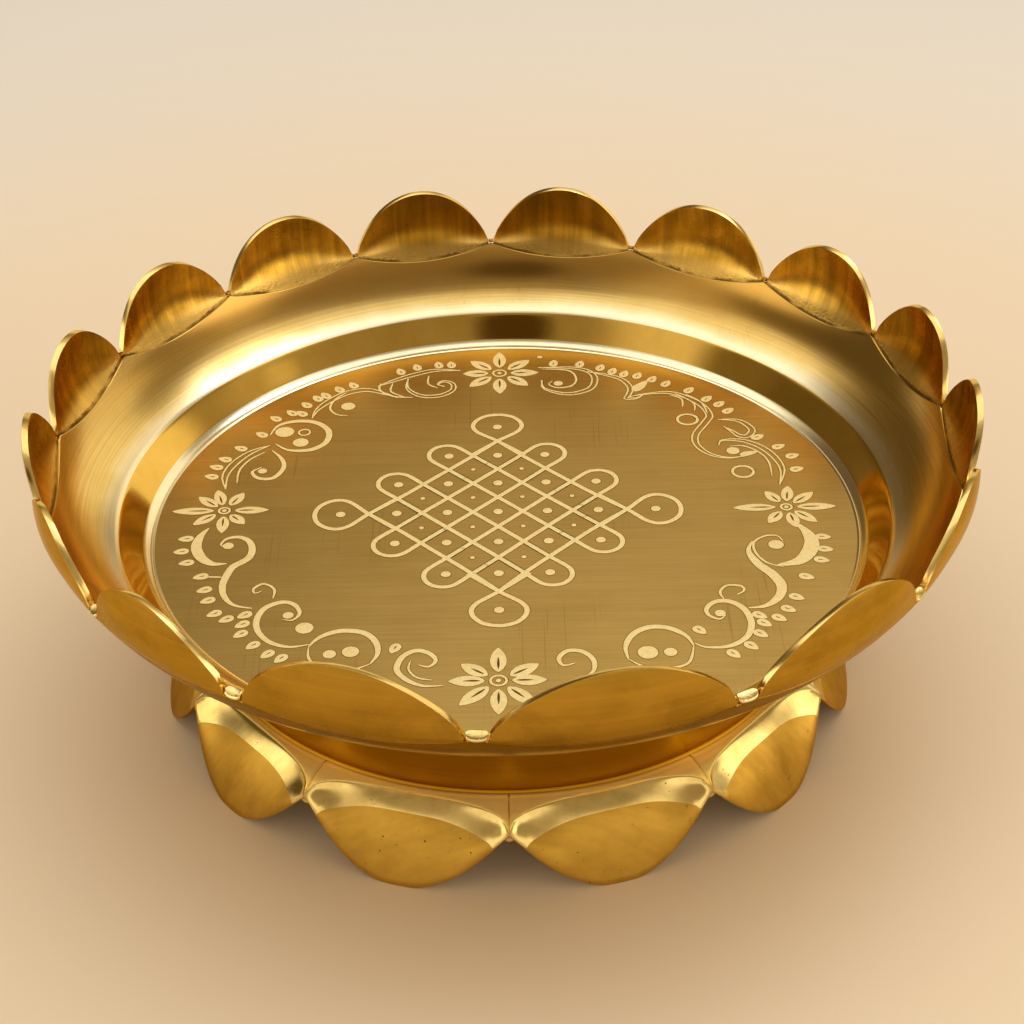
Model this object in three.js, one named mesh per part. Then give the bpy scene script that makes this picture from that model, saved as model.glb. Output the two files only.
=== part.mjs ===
// Lotus urli: a shallow brass bowl for floating flowers and lamps. A turned pan has sixteen
// petals brazed round its edge, and stands on a tapered collar and a foot of twelve petals.
// Millimetres and degrees, +Z up, origin on the table under the middle of the bowl.

import * as THREE from 'three';
import { mergeVertices } from 'three/addons/utils/BufferGeometryUtils.js';

// Gap left for braze between two pieces
const seam = 0.3;

// Pan: flat engraved floor, bead, step band, then a wall that is an arc in section
const floorHeight = 58;
const floorRadius = 114.7;
const panThickness = 3;
const beadWidth = 3.7;
const beadRise = 2.5;
const stepWidth = 7;
const stepRise = 7.6;
const wallRadius = 40;
const wallStartSlope = 25;
const notchSlope = 65;
const scallopDip = 4.1;

// Rim petals, which carry the wall on past the vertical in a tighter arc
const rimPetals = 16;
const petalRadius = 31;
const tipSlope = 103.5;
const petalRecess = 0.8;
const petalEndHeight = 1.1;
const sideCurl = 1;
const petalFullness = 0.75;

// Braze that fills the bottom of each rim notch
const notchWidth = 4.6;
const notchBrazeRise = 1.8;
const notchBrazeStandOut = 0.9;
const notchBrazeHollow = 0.25;

// Neck collar, measured outside: its top lies inside the floor's edge, and it tapers to the foot
const collarInset = 7.7;
const collarTaper = 7.7;
const collarThickness = 2.5;
const filletSize = 1.3;

// Foot: a flange under the collar, a sloping shoulder, a ridge, and petals down to the table
const footPetals = 12;
const shoulderHeight = 25.9;
const footThickness = 2;
const flangeWidth = 4;
const shoulderWidth = 10.3;
const shoulderDrop = 4.3;
const footFlare = 4.5;
const shoulderHollow = 1.1;
const ridgePlace = 0.37;
const ridgeSquareness = 3;
const faceFlare = 0.15;
const faceBendHeight = 0.45;
const footPetalEndHeight = 2.2;
const footPetalFullness = 1.1;
const tipFlatDepth = 0.5;

// Braze along each foot seam, ending in a drop under the notch
const seamBrazeWidth = 0.9;
const seamBrazeProud = 0.15;
const seamBrazeTilt = 37;
const dropWidth = 3.4;
const dropLength = 2.6;

// The petals were set out by eye, so both rings are widest near the front
const rimFirstNotch = -89.5;
const rimWidestAt = -76.8;
const rimWander = 6.7;
const footFirstNotch = -90.5;
const footWidestAt = -92.3;
const footWander = 3.1;
const secondWave = 0.47;
const thirdWave = 0.22;

// Facets of each piece
const rimColumns = 8;
const wallRows = 5;
const beadRows = 3;
const petalRows = 5;
const footColumns = 9;
const shoulderRows = 2;
const faceRows = 4;
const seamColumns = 2;
const seamRows = 3;
const dropRows = 4;
const brazeColumns = 4;
const brazeRows = 2;
const ringColumns = 72;

// Corners closer than this are one corner
const sameCorner = 1e-4;

const radians = THREE.MathUtils.degToRad;
const degrees = THREE.MathUtils.radToDeg;
const lerp = THREE.MathUtils.lerp;
const point = (radius, height) => new THREE.Vector2(radius, height);

const beadTop = point(floorRadius + beadWidth, floorHeight + beadRise);
const stepTop = point(beadTop.x + stepWidth, beadTop.y + stepRise);
const underside = floorHeight - panThickness;
const collarTopRadius = floorRadius - collarInset;
const collarFootRadius = collarTopRadius - collarTaper;

// A full turn, cut into petals: turn runs from 0 to 1, and whole petals lie between notches.
function setOut(turn, firstNotch, widestAt, wander) {
  const even = firstNotch + 360 * turn;
  const away = radians(even - widestAt);
  const waves = Math.sin(away) + secondWave * Math.sin(2 * away) + thirdWave * Math.sin(3 * away);
  return radians(even + wander * waves);
}

const rimAngle = (turn) => setOut(turn, rimFirstNotch, rimWidestAt, rimWander);
const footAngle = (turn) => setOut(turn, footFirstNotch, footWidestAt, footWander);

// How far a petal's outline has risen, from 0 at its ends to 1 in the middle.
const outline = (across, fullness) => Math.pow(Math.max(0, 1 - across * across), fullness);

// Drops what the geometry classes add for drawing and joins the corners that coincide.
function finish(geometry) {
  geometry.deleteAttribute('normal');
  geometry.deleteAttribute('uv');
  const joined = mergeVertices(geometry, sameCorner);
  joined.computeVertexNormals();
  return joined;
}

// Moves each corner of a geometry to its place: place() gets it and returns [angle, section point].
function bend(geometry, place) {
  const corners = geometry.getAttribute('position');
  for (let i = 0; i < corners.count; i++) {
    const corner = new THREE.Vector3().fromBufferAttribute(corners, i);
    const [angle, section] = place(corner, i);
    corners.setXYZ(i, section.x * Math.cos(angle), section.x * Math.sin(angle), section.y);
  }
  return finish(geometry);
}

// A turned body whose section may change round the turn.
function turned(columns, sectionAt, angleAt) {
  const rows = sectionAt(0).length;
  const lathe = new THREE.LatheGeometry(sectionAt(0), columns);
  return bend(lathe, (corner, i) => {
    const turn = Math.floor(i / rows) / columns;
    return [angleAt(turn % 1), sectionAt(turn)[i % rows]];
  });
}

// A piece of sheet: across runs from -1 to 1, along from 0 to 1, and side is 0 inside, 1 outside.
function sheet(columns, rows, place) {
  const flat = new THREE.BoxGeometry(2, 1, 1, columns, rows, 1);
  return bend(flat, (corner) => place(corner.x, corner.y + 0.5, corner.z + 0.5));
}

// Follows an arc that leaves its start at one slope and arrives at another.
function arc(start, radius, fromSlope, toSlope) {
  const from = radians(fromSlope);
  const to = radians(toSlope);
  const across = radius * (Math.sin(to) - Math.sin(from));
  const up = radius * (Math.cos(from) - Math.cos(to));
  return point(start.x + across, start.y + up);
}

// The inner face of the bowl at the height where its section has the given slope.
const notch = arc(stepTop, wallRadius, wallStartSlope, notchSlope);
function insideFace(slope) {
  if (slope <= notchSlope) return arc(stepTop, wallRadius, wallStartSlope, slope);
  return arc(notch, petalRadius, notchSlope, slope);
}

// A point of the cup, depth being how far out from the inner face it lies.
function cupPoint(slope, depth) {
  const here = radians(slope);
  return insideFace(slope).add(point(depth * Math.sin(here), -depth * Math.cos(here)));
}

const alongWall = (length) => degrees(length / wallRadius);
const alongPetal = (length) => degrees(length / petalRadius);
const rimPitch = 2 * Math.PI * notch.x / rimPetals;

// The pan's edge is highest at the notches and dips under the middle of each petal.
const scallopSlope = (across) => notchSlope - alongWall(scallopDip) * (1 - across * across);
const acrossPetal = (turn, petals) => 2 * ((turn * petals) % 1) - 1;

function panSection(turn) {
  const edge = scallopSlope(acrossPetal(turn, rimPetals));
  const wall = Array.from({ length: wallRows + 1 }, (_, i) => lerp(wallStartSlope, edge, i / wallRows));
  const stepSlope = Math.atan2(stepRise, stepWidth);
  const underStep = point(
    beadTop.x + panThickness * Math.sin(stepSlope),
    beadTop.y - panThickness * Math.cos(stepSlope),
  );
  const bead = Array.from({ length: beadRows + 1 }, (_, i) => {
    const round = Math.PI / 2 * (1 - i / beadRows);
    return point(floorRadius + beadWidth * (1 - Math.cos(round)), floorHeight + beadRise * Math.sin(round));
  });
  return [
    point(0, underside),
    point(floorRadius, underside),
    underStep,
    ...wall.map((slope) => cupPoint(slope, panThickness)),
    ...wall.reverse().map((slope) => cupPoint(slope, 0)),
    ...bead,
    point(0, floorHeight),
  ];
}

function pan() {
  return turned(rimPetals * rimColumns, panSection, rimAngle);
}

// Above the notches a petal's sides curl in towards the next petal.
function petalPoint(across, slope, depth) {
  const place = cupPoint(slope, depth);
  const lean = Math.max(0, insideFace(slope).x - notch.x);
  place.x -= sideCurl * lean * across * across;
  return place;
}

function rimPetal(index) {
  const end = 1 - (notchWidth + 2 * seam) / rimPitch;
  const shortest = alongPetal(petalEndHeight);
  return sheet(rimColumns, petalRows, (side, along, outside) => {
    const across = side * end;
    const root = scallopSlope(across) + alongWall(seam);
    const rise = (tipSlope - notchSlope - shortest) * outline(side, petalFullness);
    const slope = lerp(root, notchSlope + shortest + rise, along);
    const depth = lerp(petalRecess * (1 - along), panThickness, outside);
    const turn = (index + (across + 1) / 2) / rimPetals;
    return [rimAngle(turn), petalPoint(across, slope, depth)];
  });
}

function rimNotchBraze(index) {
  return sheet(brazeColumns, brazeRows, (side, along, outside) => {
    const turn = (index + side * notchWidth / 2 / rimPitch) / rimPetals;
    const crown = 1 - side * side;
    const root = scallopSlope(1) + alongPetal(seam);
    const slope = root + alongPetal(along * notchBrazeRise * (1 - notchBrazeHollow * crown));
    const bulge = notchBrazeStandOut * crown * (1 - along);
    return [rimAngle(turn), cupPoint(slope, outside * (panThickness + bulge))];
  });
}

const collarTop = underside - seam;
const collarBottom = shoulderHeight + seam;

function collarRadius(height) {
  const rise = (height - collarBottom) / (collarTop - collarBottom);
  return lerp(collarFootRadius, collarTopRadius, rise);
}

function ring(section) {
  const closed = [...section, section[0].clone()];
  return turned(ringColumns, () => closed, (turn) => 2 * Math.PI * turn);
}

function neckCollar() {
  return ring([
    point(collarFootRadius - collarThickness, collarBottom),
    point(collarFootRadius, collarBottom),
    point(collarTopRadius, collarTop),
    point(collarTopRadius - collarThickness, collarTop),
  ]);
}

function neckBrazeRing() {
  const top = collarBottom + filletSize;
  return ring([
    point(collarRadius(collarBottom) + seam, collarBottom),
    point(collarRadius(collarBottom) + seam + filletSize, collarBottom),
    point(collarRadius(top) + seam, top),
  ]);
}

// Outer face of the foot: the shoulder starts where the fillet ends.
const shoulderStart = point(collarFootRadius + 2 * seam + filletSize, shoulderHeight);
const footNotch = point(shoulderStart.x + shoulderWidth, shoulderHeight - shoulderDrop);
const footTip = point(footNotch.x + footFlare, 0);
const footPitch = 2 * Math.PI * footNotch.x / footPetals;

// The shoulder is the same all round: it drops quickly at first and flattens towards the notches.
function shoulderPoint(place) {
  const drop = Math.pow(place, 1 / shoulderHollow);
  return point(
    lerp(shoulderStart.x, footNotch.x, place),
    lerp(shoulderStart.y, footNotch.y, drop),
  );
}

// The ridge runs from notch to notch in a flat-topped arch.
function ridgeAt(across) {
  const arch = Math.sqrt(1 - Math.pow(Math.abs(across), ridgeSquareness));
  return lerp(1, ridgePlace, arch);
}

// A petal's face leaves the ridge nearly upright and flares out to the table.
function footFace(across, along) {
  const start = shoulderPoint(ridgeAt(across));
  const reach = outline(across, footPetalFullness);
  const lowest = lerp(footNotch.y - footPetalEndHeight, -tipFlatDepth, reach);
  const end = point(lerp(footNotch.x, footTip.x, reach), Math.max(0, lowest));
  const bendPoint = point(lerp(start.x, end.x, faceFlare), lerp(start.y, end.y, faceBendHeight));
  return new THREE.QuadraticBezierCurve(start, bendPoint, end).getPoint(along);
}

function footSection(across) {
  const flange = point(collarFootRadius - flangeWidth, shoulderHeight);
  const shoulder = Array.from({ length: shoulderRows }, (_, i) =>
    shoulderPoint(ridgeAt(across) * i / shoulderRows));
  const face = Array.from({ length: faceRows + 1 }, (_, i) => footFace(across, i / faceRows));
  return [flange, ...shoulder, ...face];
}

// The way from the outer face to the inner one at each row of a foot petal's section: square to
// the flange and the shoulder, and below the ridge straight in from a mitred corner.
function footWall() {
  const slope = Math.atan2(shoulderDrop, shoulderWidth);
  const mitre = (1 - Math.sin(slope)) / Math.cos(slope);
  const underFlange = point(0, -1);
  const underShoulder = Array.from({ length: shoulderRows }, () =>
    point(-Math.sin(slope), -Math.cos(slope)));
  const behindFace = Array.from({ length: faceRows + 1 }, (_, i) => point(-1, -mitre * (1 - i / faceRows)));
  const ways = [underFlange, ...underShoulder, ...behindFace];
  return ways.map((way) => way.multiplyScalar(footThickness));
}

function footPetal(index) {
  const wall = footWall();
  const rows = wall.length - 1;
  const end = 1 - (seamBrazeWidth + 2 * seam) / footPitch;
  return sheet(footColumns, rows, (side, along, outside) => {
    const row = Math.round((1 - along) * rows);
    const place = footSection(side)[row];
    if (outside === 0) place.add(wall[row]);
    const turn = (index + (side * end + 1) / 2) / footPetals;
    return [footAngle(turn), place];
  });
}

// A thin strip of braze follows the shoulder between two petals and swells into a drop.
function footSeamBraze(index) {
  const shoulder = Array.from({ length: seamRows + 1 }, (_, i) => shoulderPoint(i / seamRows));
  const underNotch = footNotch.y - footPetalEndHeight - seam;
  const drop = Array.from({ length: dropRows + 1 }, (_, i) =>
    point(footNotch.x, underNotch - dropLength * i / dropRows));
  const section = [...shoulder, ...drop];
  const rows = section.length - 1;
  const tilt = radians(seamBrazeTilt);
  const depth = point(footThickness * Math.sin(tilt), footThickness * Math.cos(tilt));
  return sheet(seamColumns, rows, (side, along, outside) => {
    const row = Math.round((1 - along) * rows);
    const downDrop = Math.max(0, row - shoulder.length) / dropRows;
    const width = lerp(seamBrazeWidth, dropWidth, Math.sin(Math.PI * downDrop));
    const turn = (index + side * width / 2 / footPitch) / footPetals;
    const outer = section[row].clone().add(point(0, seamBrazeProud));
    return [footAngle(turn), outside === 1 ? outer : section[row].clone().sub(depth)];
  });
}

const metals = {
  satin: { color: 0xb8964a, roughness: 0.38, metalness: 1 },
  amber: { color: 0xa8721f, roughness: 0.32, metalness: 1 },
  polished: { color: 0xd8bb6e, roughness: 0.12, metalness: 1 },
  braze: { color: 0xe2c983, roughness: 0.3, metalness: 1 },
};

const group = new THREE.Group();

function add(name, geometry, metal) {
  const mesh = new THREE.Mesh(geometry, new THREE.MeshStandardMaterial(metals[metal]));
  mesh.name = name;
  group.add(mesh);
}

const numbered = (name, index) => `${name}_${String(index + 1).padStart(2, '0')}`;

add('pan', pan(), 'satin');
for (let i = 0; i < rimPetals; i++) {
  add(numbered('rim_petal', i), rimPetal(i), 'amber');
  add(numbered('rim_notch_braze', i), rimNotchBraze(i), 'braze');
}
add('neck_collar', neckCollar(), 'amber');
add('neck_braze_ring', neckBrazeRing(), 'braze');
for (let i = 0; i < footPetals; i++) {
  add(numbered('foot_petal', i), footPetal(i), 'polished');
  add(numbered('foot_seam_braze', i), footSeamBraze(i), 'braze');
}

export default group;
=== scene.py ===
"""Lotus urli: a shallow brass bowl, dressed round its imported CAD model.

Sizes are in millimetres and slopes in degrees, as in the part's own source. Each mesh is
brought to Blender's metres when it is finished.
"""

import logging
from collections.abc import Callable, Iterable
from dataclasses import dataclass, field, replace
from enum import Enum
from math import atan2, cos, degrees, pi, radians, sin, sqrt, tan

import bmesh
import bpy
from mathutils import Matrix, Vector


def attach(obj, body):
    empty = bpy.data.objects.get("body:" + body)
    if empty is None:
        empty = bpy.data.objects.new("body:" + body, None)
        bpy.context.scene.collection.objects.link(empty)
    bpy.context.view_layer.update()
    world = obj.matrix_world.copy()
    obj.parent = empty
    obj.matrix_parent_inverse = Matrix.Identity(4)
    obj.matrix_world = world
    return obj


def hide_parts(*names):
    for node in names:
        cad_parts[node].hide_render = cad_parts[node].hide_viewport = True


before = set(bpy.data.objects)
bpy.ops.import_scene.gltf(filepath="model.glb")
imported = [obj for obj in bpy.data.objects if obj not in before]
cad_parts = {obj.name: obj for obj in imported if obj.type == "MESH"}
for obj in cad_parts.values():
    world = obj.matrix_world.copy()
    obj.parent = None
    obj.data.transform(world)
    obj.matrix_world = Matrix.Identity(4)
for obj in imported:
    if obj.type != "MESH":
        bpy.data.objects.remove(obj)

log = logging.getLogger("urli")

METRES = 0.001
SEAM = 0.3
SAME_CORNER = 1e-4
SMOOTH_BELOW = radians(38)

Place = Callable[[float, float, float], Vector]
Point = tuple[float, float]
Colour = tuple[float, float, float]
Mesh = bmesh.types.BMesh
Socket = bpy.types.NodeSocket


def lerp(start: float, end: float, share: float) -> float:
    """Return the value that lies a share of the way from start to end."""
    return start + (end - start) * share


def polar(angle: float, section: Vector) -> Vector:
    """Return the point of a section (radius, height) when it is turned to an angle."""
    return Vector((section.x * cos(angle), section.x * sin(angle), section.y))


def section_point(radius: float, height: float) -> Vector:
    """Return a point of a section through the bowl's axis."""
    return Vector((radius, height))


def shares(count: int) -> list[float]:
    """Return the shares from 0 to 1 at equal steps."""
    return [i / count for i in range(count + 1)]


def rounding(start: Vector, corner: Vector, end: Vector, share: float) -> Vector:
    """Return a point of the curve that leads from start to end and rounds the corner between them."""
    return start.lerp(corner, share).lerp(corner.lerp(end, share), share)


@dataclass(frozen=True)
class Ring:
    """Petals set out round the bowl, widest on one side."""

    petals: int
    first_notch: float
    widest_at: float
    wander: float
    second_wave: float = 0.47
    third_wave: float = 0.22

    def angle(self, turn: float) -> float:
        """Return the angle at a share of the full turn.

        Args:
            turn: 0 at the first notch, 1 a full turn later.

        Returns:
            The angle in radians.
        """
        even = self.first_notch + 360 * turn
        away = radians(even - self.widest_at)
        waves = sin(away) + self.second_wave * sin(2 * away) + self.third_wave * sin(3 * away)
        return radians(even + self.wander * waves)

    def across(self, turn: float) -> float:
        """Return how far across its petal a turn lies, from -1 to 1."""
        return 2 * ((turn * self.petals) % 1) - 1


RIM = Ring(petals=16, first_notch=-89.5, widest_at=-76.8, wander=6.7)
FOOT = Ring(petals=12, first_notch=-90.5, widest_at=-92.3, wander=3.1)


@dataclass(frozen=True)
class Cup:
    """The bowl's section: floor, bead, step band, wall arc and the petals' tighter arc."""

    floor_height: float = 58
    floor_radius: float = 114.7
    thickness: float = 3
    bead_width: float = 3.7
    bead_rise: float = 2.5
    step_width: float = 7
    step_rise: float = 7.6
    wall_radius: float = 40
    wall_start: float = 25
    notch_slope: float = 65
    petal_radius: float = 31
    tip_slope: float = 103.5
    scallop_dip: float = 5.0

    @property
    def bead_top(self) -> Vector:
        """Return where the bead meets the step band."""
        return section_point(self.floor_radius + self.bead_width, self.floor_height + self.bead_rise)

    @property
    def step_top(self) -> Vector:
        """Return where the step band meets the wall."""
        return self.bead_top + section_point(self.step_width, self.step_rise)

    @staticmethod
    def arc(start: Vector, radius: float, from_slope: float, to_slope: float) -> Vector:
        """Follow an arc that leaves its start at one slope and arrives at another."""
        one, two = radians(from_slope), radians(to_slope)
        return start + section_point(radius * (sin(two) - sin(one)), radius * (cos(one) - cos(two)))

    @property
    def notch(self) -> Vector:
        """Return the inner face at the bottom of the notches between the petals."""
        return self.arc(self.step_top, self.wall_radius, self.wall_start, self.notch_slope)

    def inside(self, slope: float) -> Vector:
        """Return the inner face where its section has the given slope."""
        if slope <= self.notch_slope:
            return self.arc(self.step_top, self.wall_radius, self.wall_start, slope)
        return self.arc(self.notch, self.petal_radius, self.notch_slope, slope)

    def point(self, slope: float, depth: float) -> Vector:
        """Return the point that lies a depth outwards from the inner face."""
        here = radians(slope)
        return self.inside(slope) + section_point(depth * sin(here), -depth * cos(here))

    def along_wall(self, length: float) -> float:
        """Return the change of slope over a length of the wall."""
        return degrees(length / self.wall_radius)

    def along_petal(self, length: float) -> float:
        """Return the change of slope over a length of a petal."""
        return degrees(length / self.petal_radius)

    def scallop(self, across: float) -> float:
        """Return the slope at the pan's edge, which dips under the middle of each petal."""
        return self.notch_slope - self.along_wall(self.scallop_dip) * (1 - across * across)


CUP = Cup()
RIM_PITCH = 2 * pi * CUP.notch.x / RIM.petals


def spun(section: list[Vector], steps: int, closed: bool = True) -> Mesh:
    """Spin a section round the bowl's axis.

    Args:
        section: Points (radius, height) in order.
        steps: Number of facets round the turn.
        closed: Whether the last point joins the first.

    Returns:
        The bmesh, with its poles closed.
    """
    bm = bmesh.new()
    verts = [bm.verts.new((p.x, 0, p.y)) for p in section]
    edges = [bm.edges.new(pair) for pair in zip(verts, verts[1:])]
    if closed:
        edges.append(bm.edges.new((verts[-1], verts[0])))
    bmesh.ops.spin(bm, geom=verts + edges, cent=(0, 0, 0), axis=(0, 0, 1), angle=2 * pi,
                   steps=steps, use_merge=True)
    bmesh.ops.remove_doubles(bm, verts=bm.verts, dist=SAME_CORNER)
    return bm


def block(columns: int, rows: int) -> Mesh:
    """Make a flat block that a place function can bend into a sheet.

    Args:
        columns: Faces across it.
        rows: Faces along it.

    Returns:
        A bmesh of x from -1 to 1, y from 0 to 1, and z 0 inside and 1 outside.
    """
    bm = bmesh.new()
    bmesh.ops.create_grid(bm, x_segments=columns, y_segments=rows, size=0.5)
    bmesh.ops.scale(bm, vec=(2, 1, 1), verts=bm.verts)
    bmesh.ops.translate(bm, vec=(0, 0.5, 0), verts=bm.verts)
    top = bmesh.ops.extrude_face_region(bm, geom=bm.faces[:], use_keep_orig=True)["geom"]
    raised = [v for v in top if isinstance(v, bmesh.types.BMVert)]
    bmesh.ops.translate(bm, vec=(0, 0, 1), verts=raised)
    return bm


def bend(bm: Mesh, place: Place) -> None:
    """Move each vertex of a block to its place.

    Args:
        bm: A bmesh from block().
        place: Gets across, along and outside, and returns the point.
    """
    for vert in bm.verts:
        vert.co = place(*vert.co)


def round_edges(bm: Mesh, radius: float, segments: int, above: float) -> None:
    """Bevel every edge at which two faces meet at more than an angle.

    Args:
        bm: The bmesh to change.
        radius: The bevel's offset.
        segments: Faces across the bevel.
        above: The least angle in degrees.
    """
    bmesh.ops.recalc_face_normals(bm, faces=bm.faces)
    sharp = [e for e in bm.edges if e.is_manifold and e.calc_face_angle(0) > radians(above)]
    bmesh.ops.bevel(bm, geom=sharp, offset=radius, segments=segments, profile=0.5, affect="EDGES",
                    clamp_overlap=True, material=-1)


def filleted(path: list[Vector], radii: dict[int, float], segments: int = 4) -> list[Vector]:
    """Round chosen corners of a section.

    Args:
        path: Points of the section.
        radii: How far back from each corner, by its index, the rounding starts.
        segments: Pieces of each rounding.

    Returns:
        The section with its corners rounded.
    """
    rounded: list[Vector] = []
    for i, corner in enumerate(path):
        if i not in radii:
            rounded.append(corner)
            continue
        start = corner + (path[i - 1] - corner).normalized() * radii[i]
        end = corner + (path[(i + 1) % len(path)] - corner).normalized() * radii[i]
        rounded += [rounding(start, corner, end, t) for t in shares(segments)]
    return rounded


class Slot(Enum):
    """Names of material slots."""

    SATIN = "satin"
    AMBER = "amber"
    POLISHED = "polished"
    BRAZE = "braze"


def finished(bm: Mesh, name: str, materials: list[bpy.types.Material], slot: Slot,
             nodes: Iterable[str] = (), sharp: float = SMOOTH_BELOW) -> bpy.types.Object:
    """Turn a bmesh in millimetres into a finished piece of the bowl.

    Args:
        bm: The bmesh, which is used up.
        name: The piece's name.
        materials: Its finishes, in the order of its faces' material indices.
        slot: Not used.
        nodes: The CAD nodes that it stands for.
        sharp: Edges above this angle stay sharp, in radians.

    Returns:
        The object, riding on the bowl.
    """
    bmesh.ops.recalc_face_normals(bm, faces=bm.faces)
    bmesh.ops.scale(bm, vec=(METRES,) * 3, verts=bm.verts)
    mesh = bpy.data.meshes.new(name)
    bm.to_mesh(mesh)
    bm.free()
    mesh.shade_smooth()
    mesh.set_sharp_from_angle(angle=sharp)
    for material in materials:
        mesh.materials.append(material)
    piece = bpy.data.objects.new(name, mesh)
    bpy.context.scene.collection.objects.link(piece)
    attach(piece, "root")
    if nodes:
        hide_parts(*nodes)
    log.info("%s: %d faces", name, len(mesh.polygons))
    return piece


class Nodes:
    """Builds one material's node tree, with every value set on the node that uses it."""

    def __init__(self, owner: bpy.types.Material | bpy.types.World, output: str) -> None:
        """Clear a material's or a world's node tree.

        Args:
            owner: The material or world.
            output: The type of its output node.
        """
        owner.use_nodes = True
        self.tree = owner.node_tree
        self.tree.nodes.clear()
        self.output = self.tree.nodes.new(output)

    @classmethod
    def of_world(cls, world: bpy.types.World) -> "Nodes":
        """Return the cleared nodes of a world."""
        return cls(world, "ShaderNodeOutputWorld")

    @classmethod
    def of_material(cls, name: str) -> "Nodes":
        """Return the nodes of a new material, with its shader linked to its output."""
        material = bpy.data.materials.new(name)
        nodes = cls(material, "ShaderNodeOutputMaterial")
        nodes.material = material
        nodes.shader = nodes.tree.nodes.new("ShaderNodeBsdfPrincipled")
        nodes.tree.links.new(nodes.shader.outputs[0], nodes.output.inputs[0])
        return nodes

    def put(self, socket: Socket, value: object) -> None:
        """Link a socket to another one, or set it to a plain value."""
        if isinstance(value, Socket):
            self.tree.links.new(value, socket)
        else:
            socket.default_value = value

    def node(self, kind: str, inputs: dict[int | str, object], **settings: object) -> bpy.types.Node:
        """Add a node.

        Args:
            kind: The node's type, without its "ShaderNode".
            inputs: Values or sockets by input name or index.
            settings: Properties of the node.

        Returns:
            The node.
        """
        made = self.tree.nodes.new("ShaderNode" + kind)
        for key, value in settings.items():
            setattr(made, key, value)
        for key, value in inputs.items():
            self.put(made.inputs[key], value)
        return made

    def math(self, operation: str, *values: object) -> Socket:
        """Return the result of a Math node."""
        return self.node("Math", dict(enumerate(values)), operation=operation).outputs[0]

    def times(self, one: object, other: object) -> Socket:
        """Return the product of two values."""
        return self.math("MULTIPLY", one, other)

    def plus(self, one: object, other: object) -> Socket:
        """Return the sum of two values."""
        return self.math("ADD", one, other)

    def place(self) -> Socket:
        """Return the place on the object, in metres."""
        return self.node("TexCoord", {}).outputs["Object"]

    def parts(self, vector: object) -> list[Socket]:
        """Return the three parts of a vector."""
        return list(self.node("SeparateXYZ", {0: vector}).outputs)

    def radius(self, place: object) -> Socket:
        """Return how far a place lies from the bowl's axis."""
        x, y = self.parts(place)[:2]
        return self.math("SQRT", self.plus(self.times(x, x), self.times(y, y)))

    def noise(self, vector: object, scale: float, detail: float = 2, rough: float = 0.5) -> Socket:
        """Return a noise value from 0 to 1 at a vector."""
        inputs = {"Vector": vector, "Scale": scale, "Detail": detail, "Roughness": rough}
        return self.node("TexNoise", inputs).outputs[0]

    def remap(self, value: object, low: float, high: float, start: float = 0, end: float = 1) -> Socket:
        """Return a value brought smoothly from one range to another, and held at its ends."""
        made = self.node("MapRange", {0: value, 1: low, 2: high, 3: start, 4: end})
        made.interpolation_type = "SMOOTHSTEP"
        return made.outputs[0]

    def blend(self, share: object, first: object, second: object, mode: str = "MIX") -> Socket:
        """Return two colours mixed by a share."""
        made = self.node("Mix", {0: share, 6: first, 7: second}, data_type="RGBA", blend_type=mode)
        return made.outputs[2]

    def attribute(self, name: str) -> Socket:
        """Return the value of a mesh attribute."""
        return self.node("Attribute", {}, attribute_name=name).outputs["Fac"]


def rgb(red: float, green: float, blue: float) -> tuple[float, float, float, float]:
    """Return a linear colour."""
    return (red, green, blue, 1.0)


class Grain(Enum):
    """The way in which a surface was worked."""

    TURNED = "turned"
    UPRIGHT = "upright"
    STRAIGHT = "straight"
    PLAIN = "plain"


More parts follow.
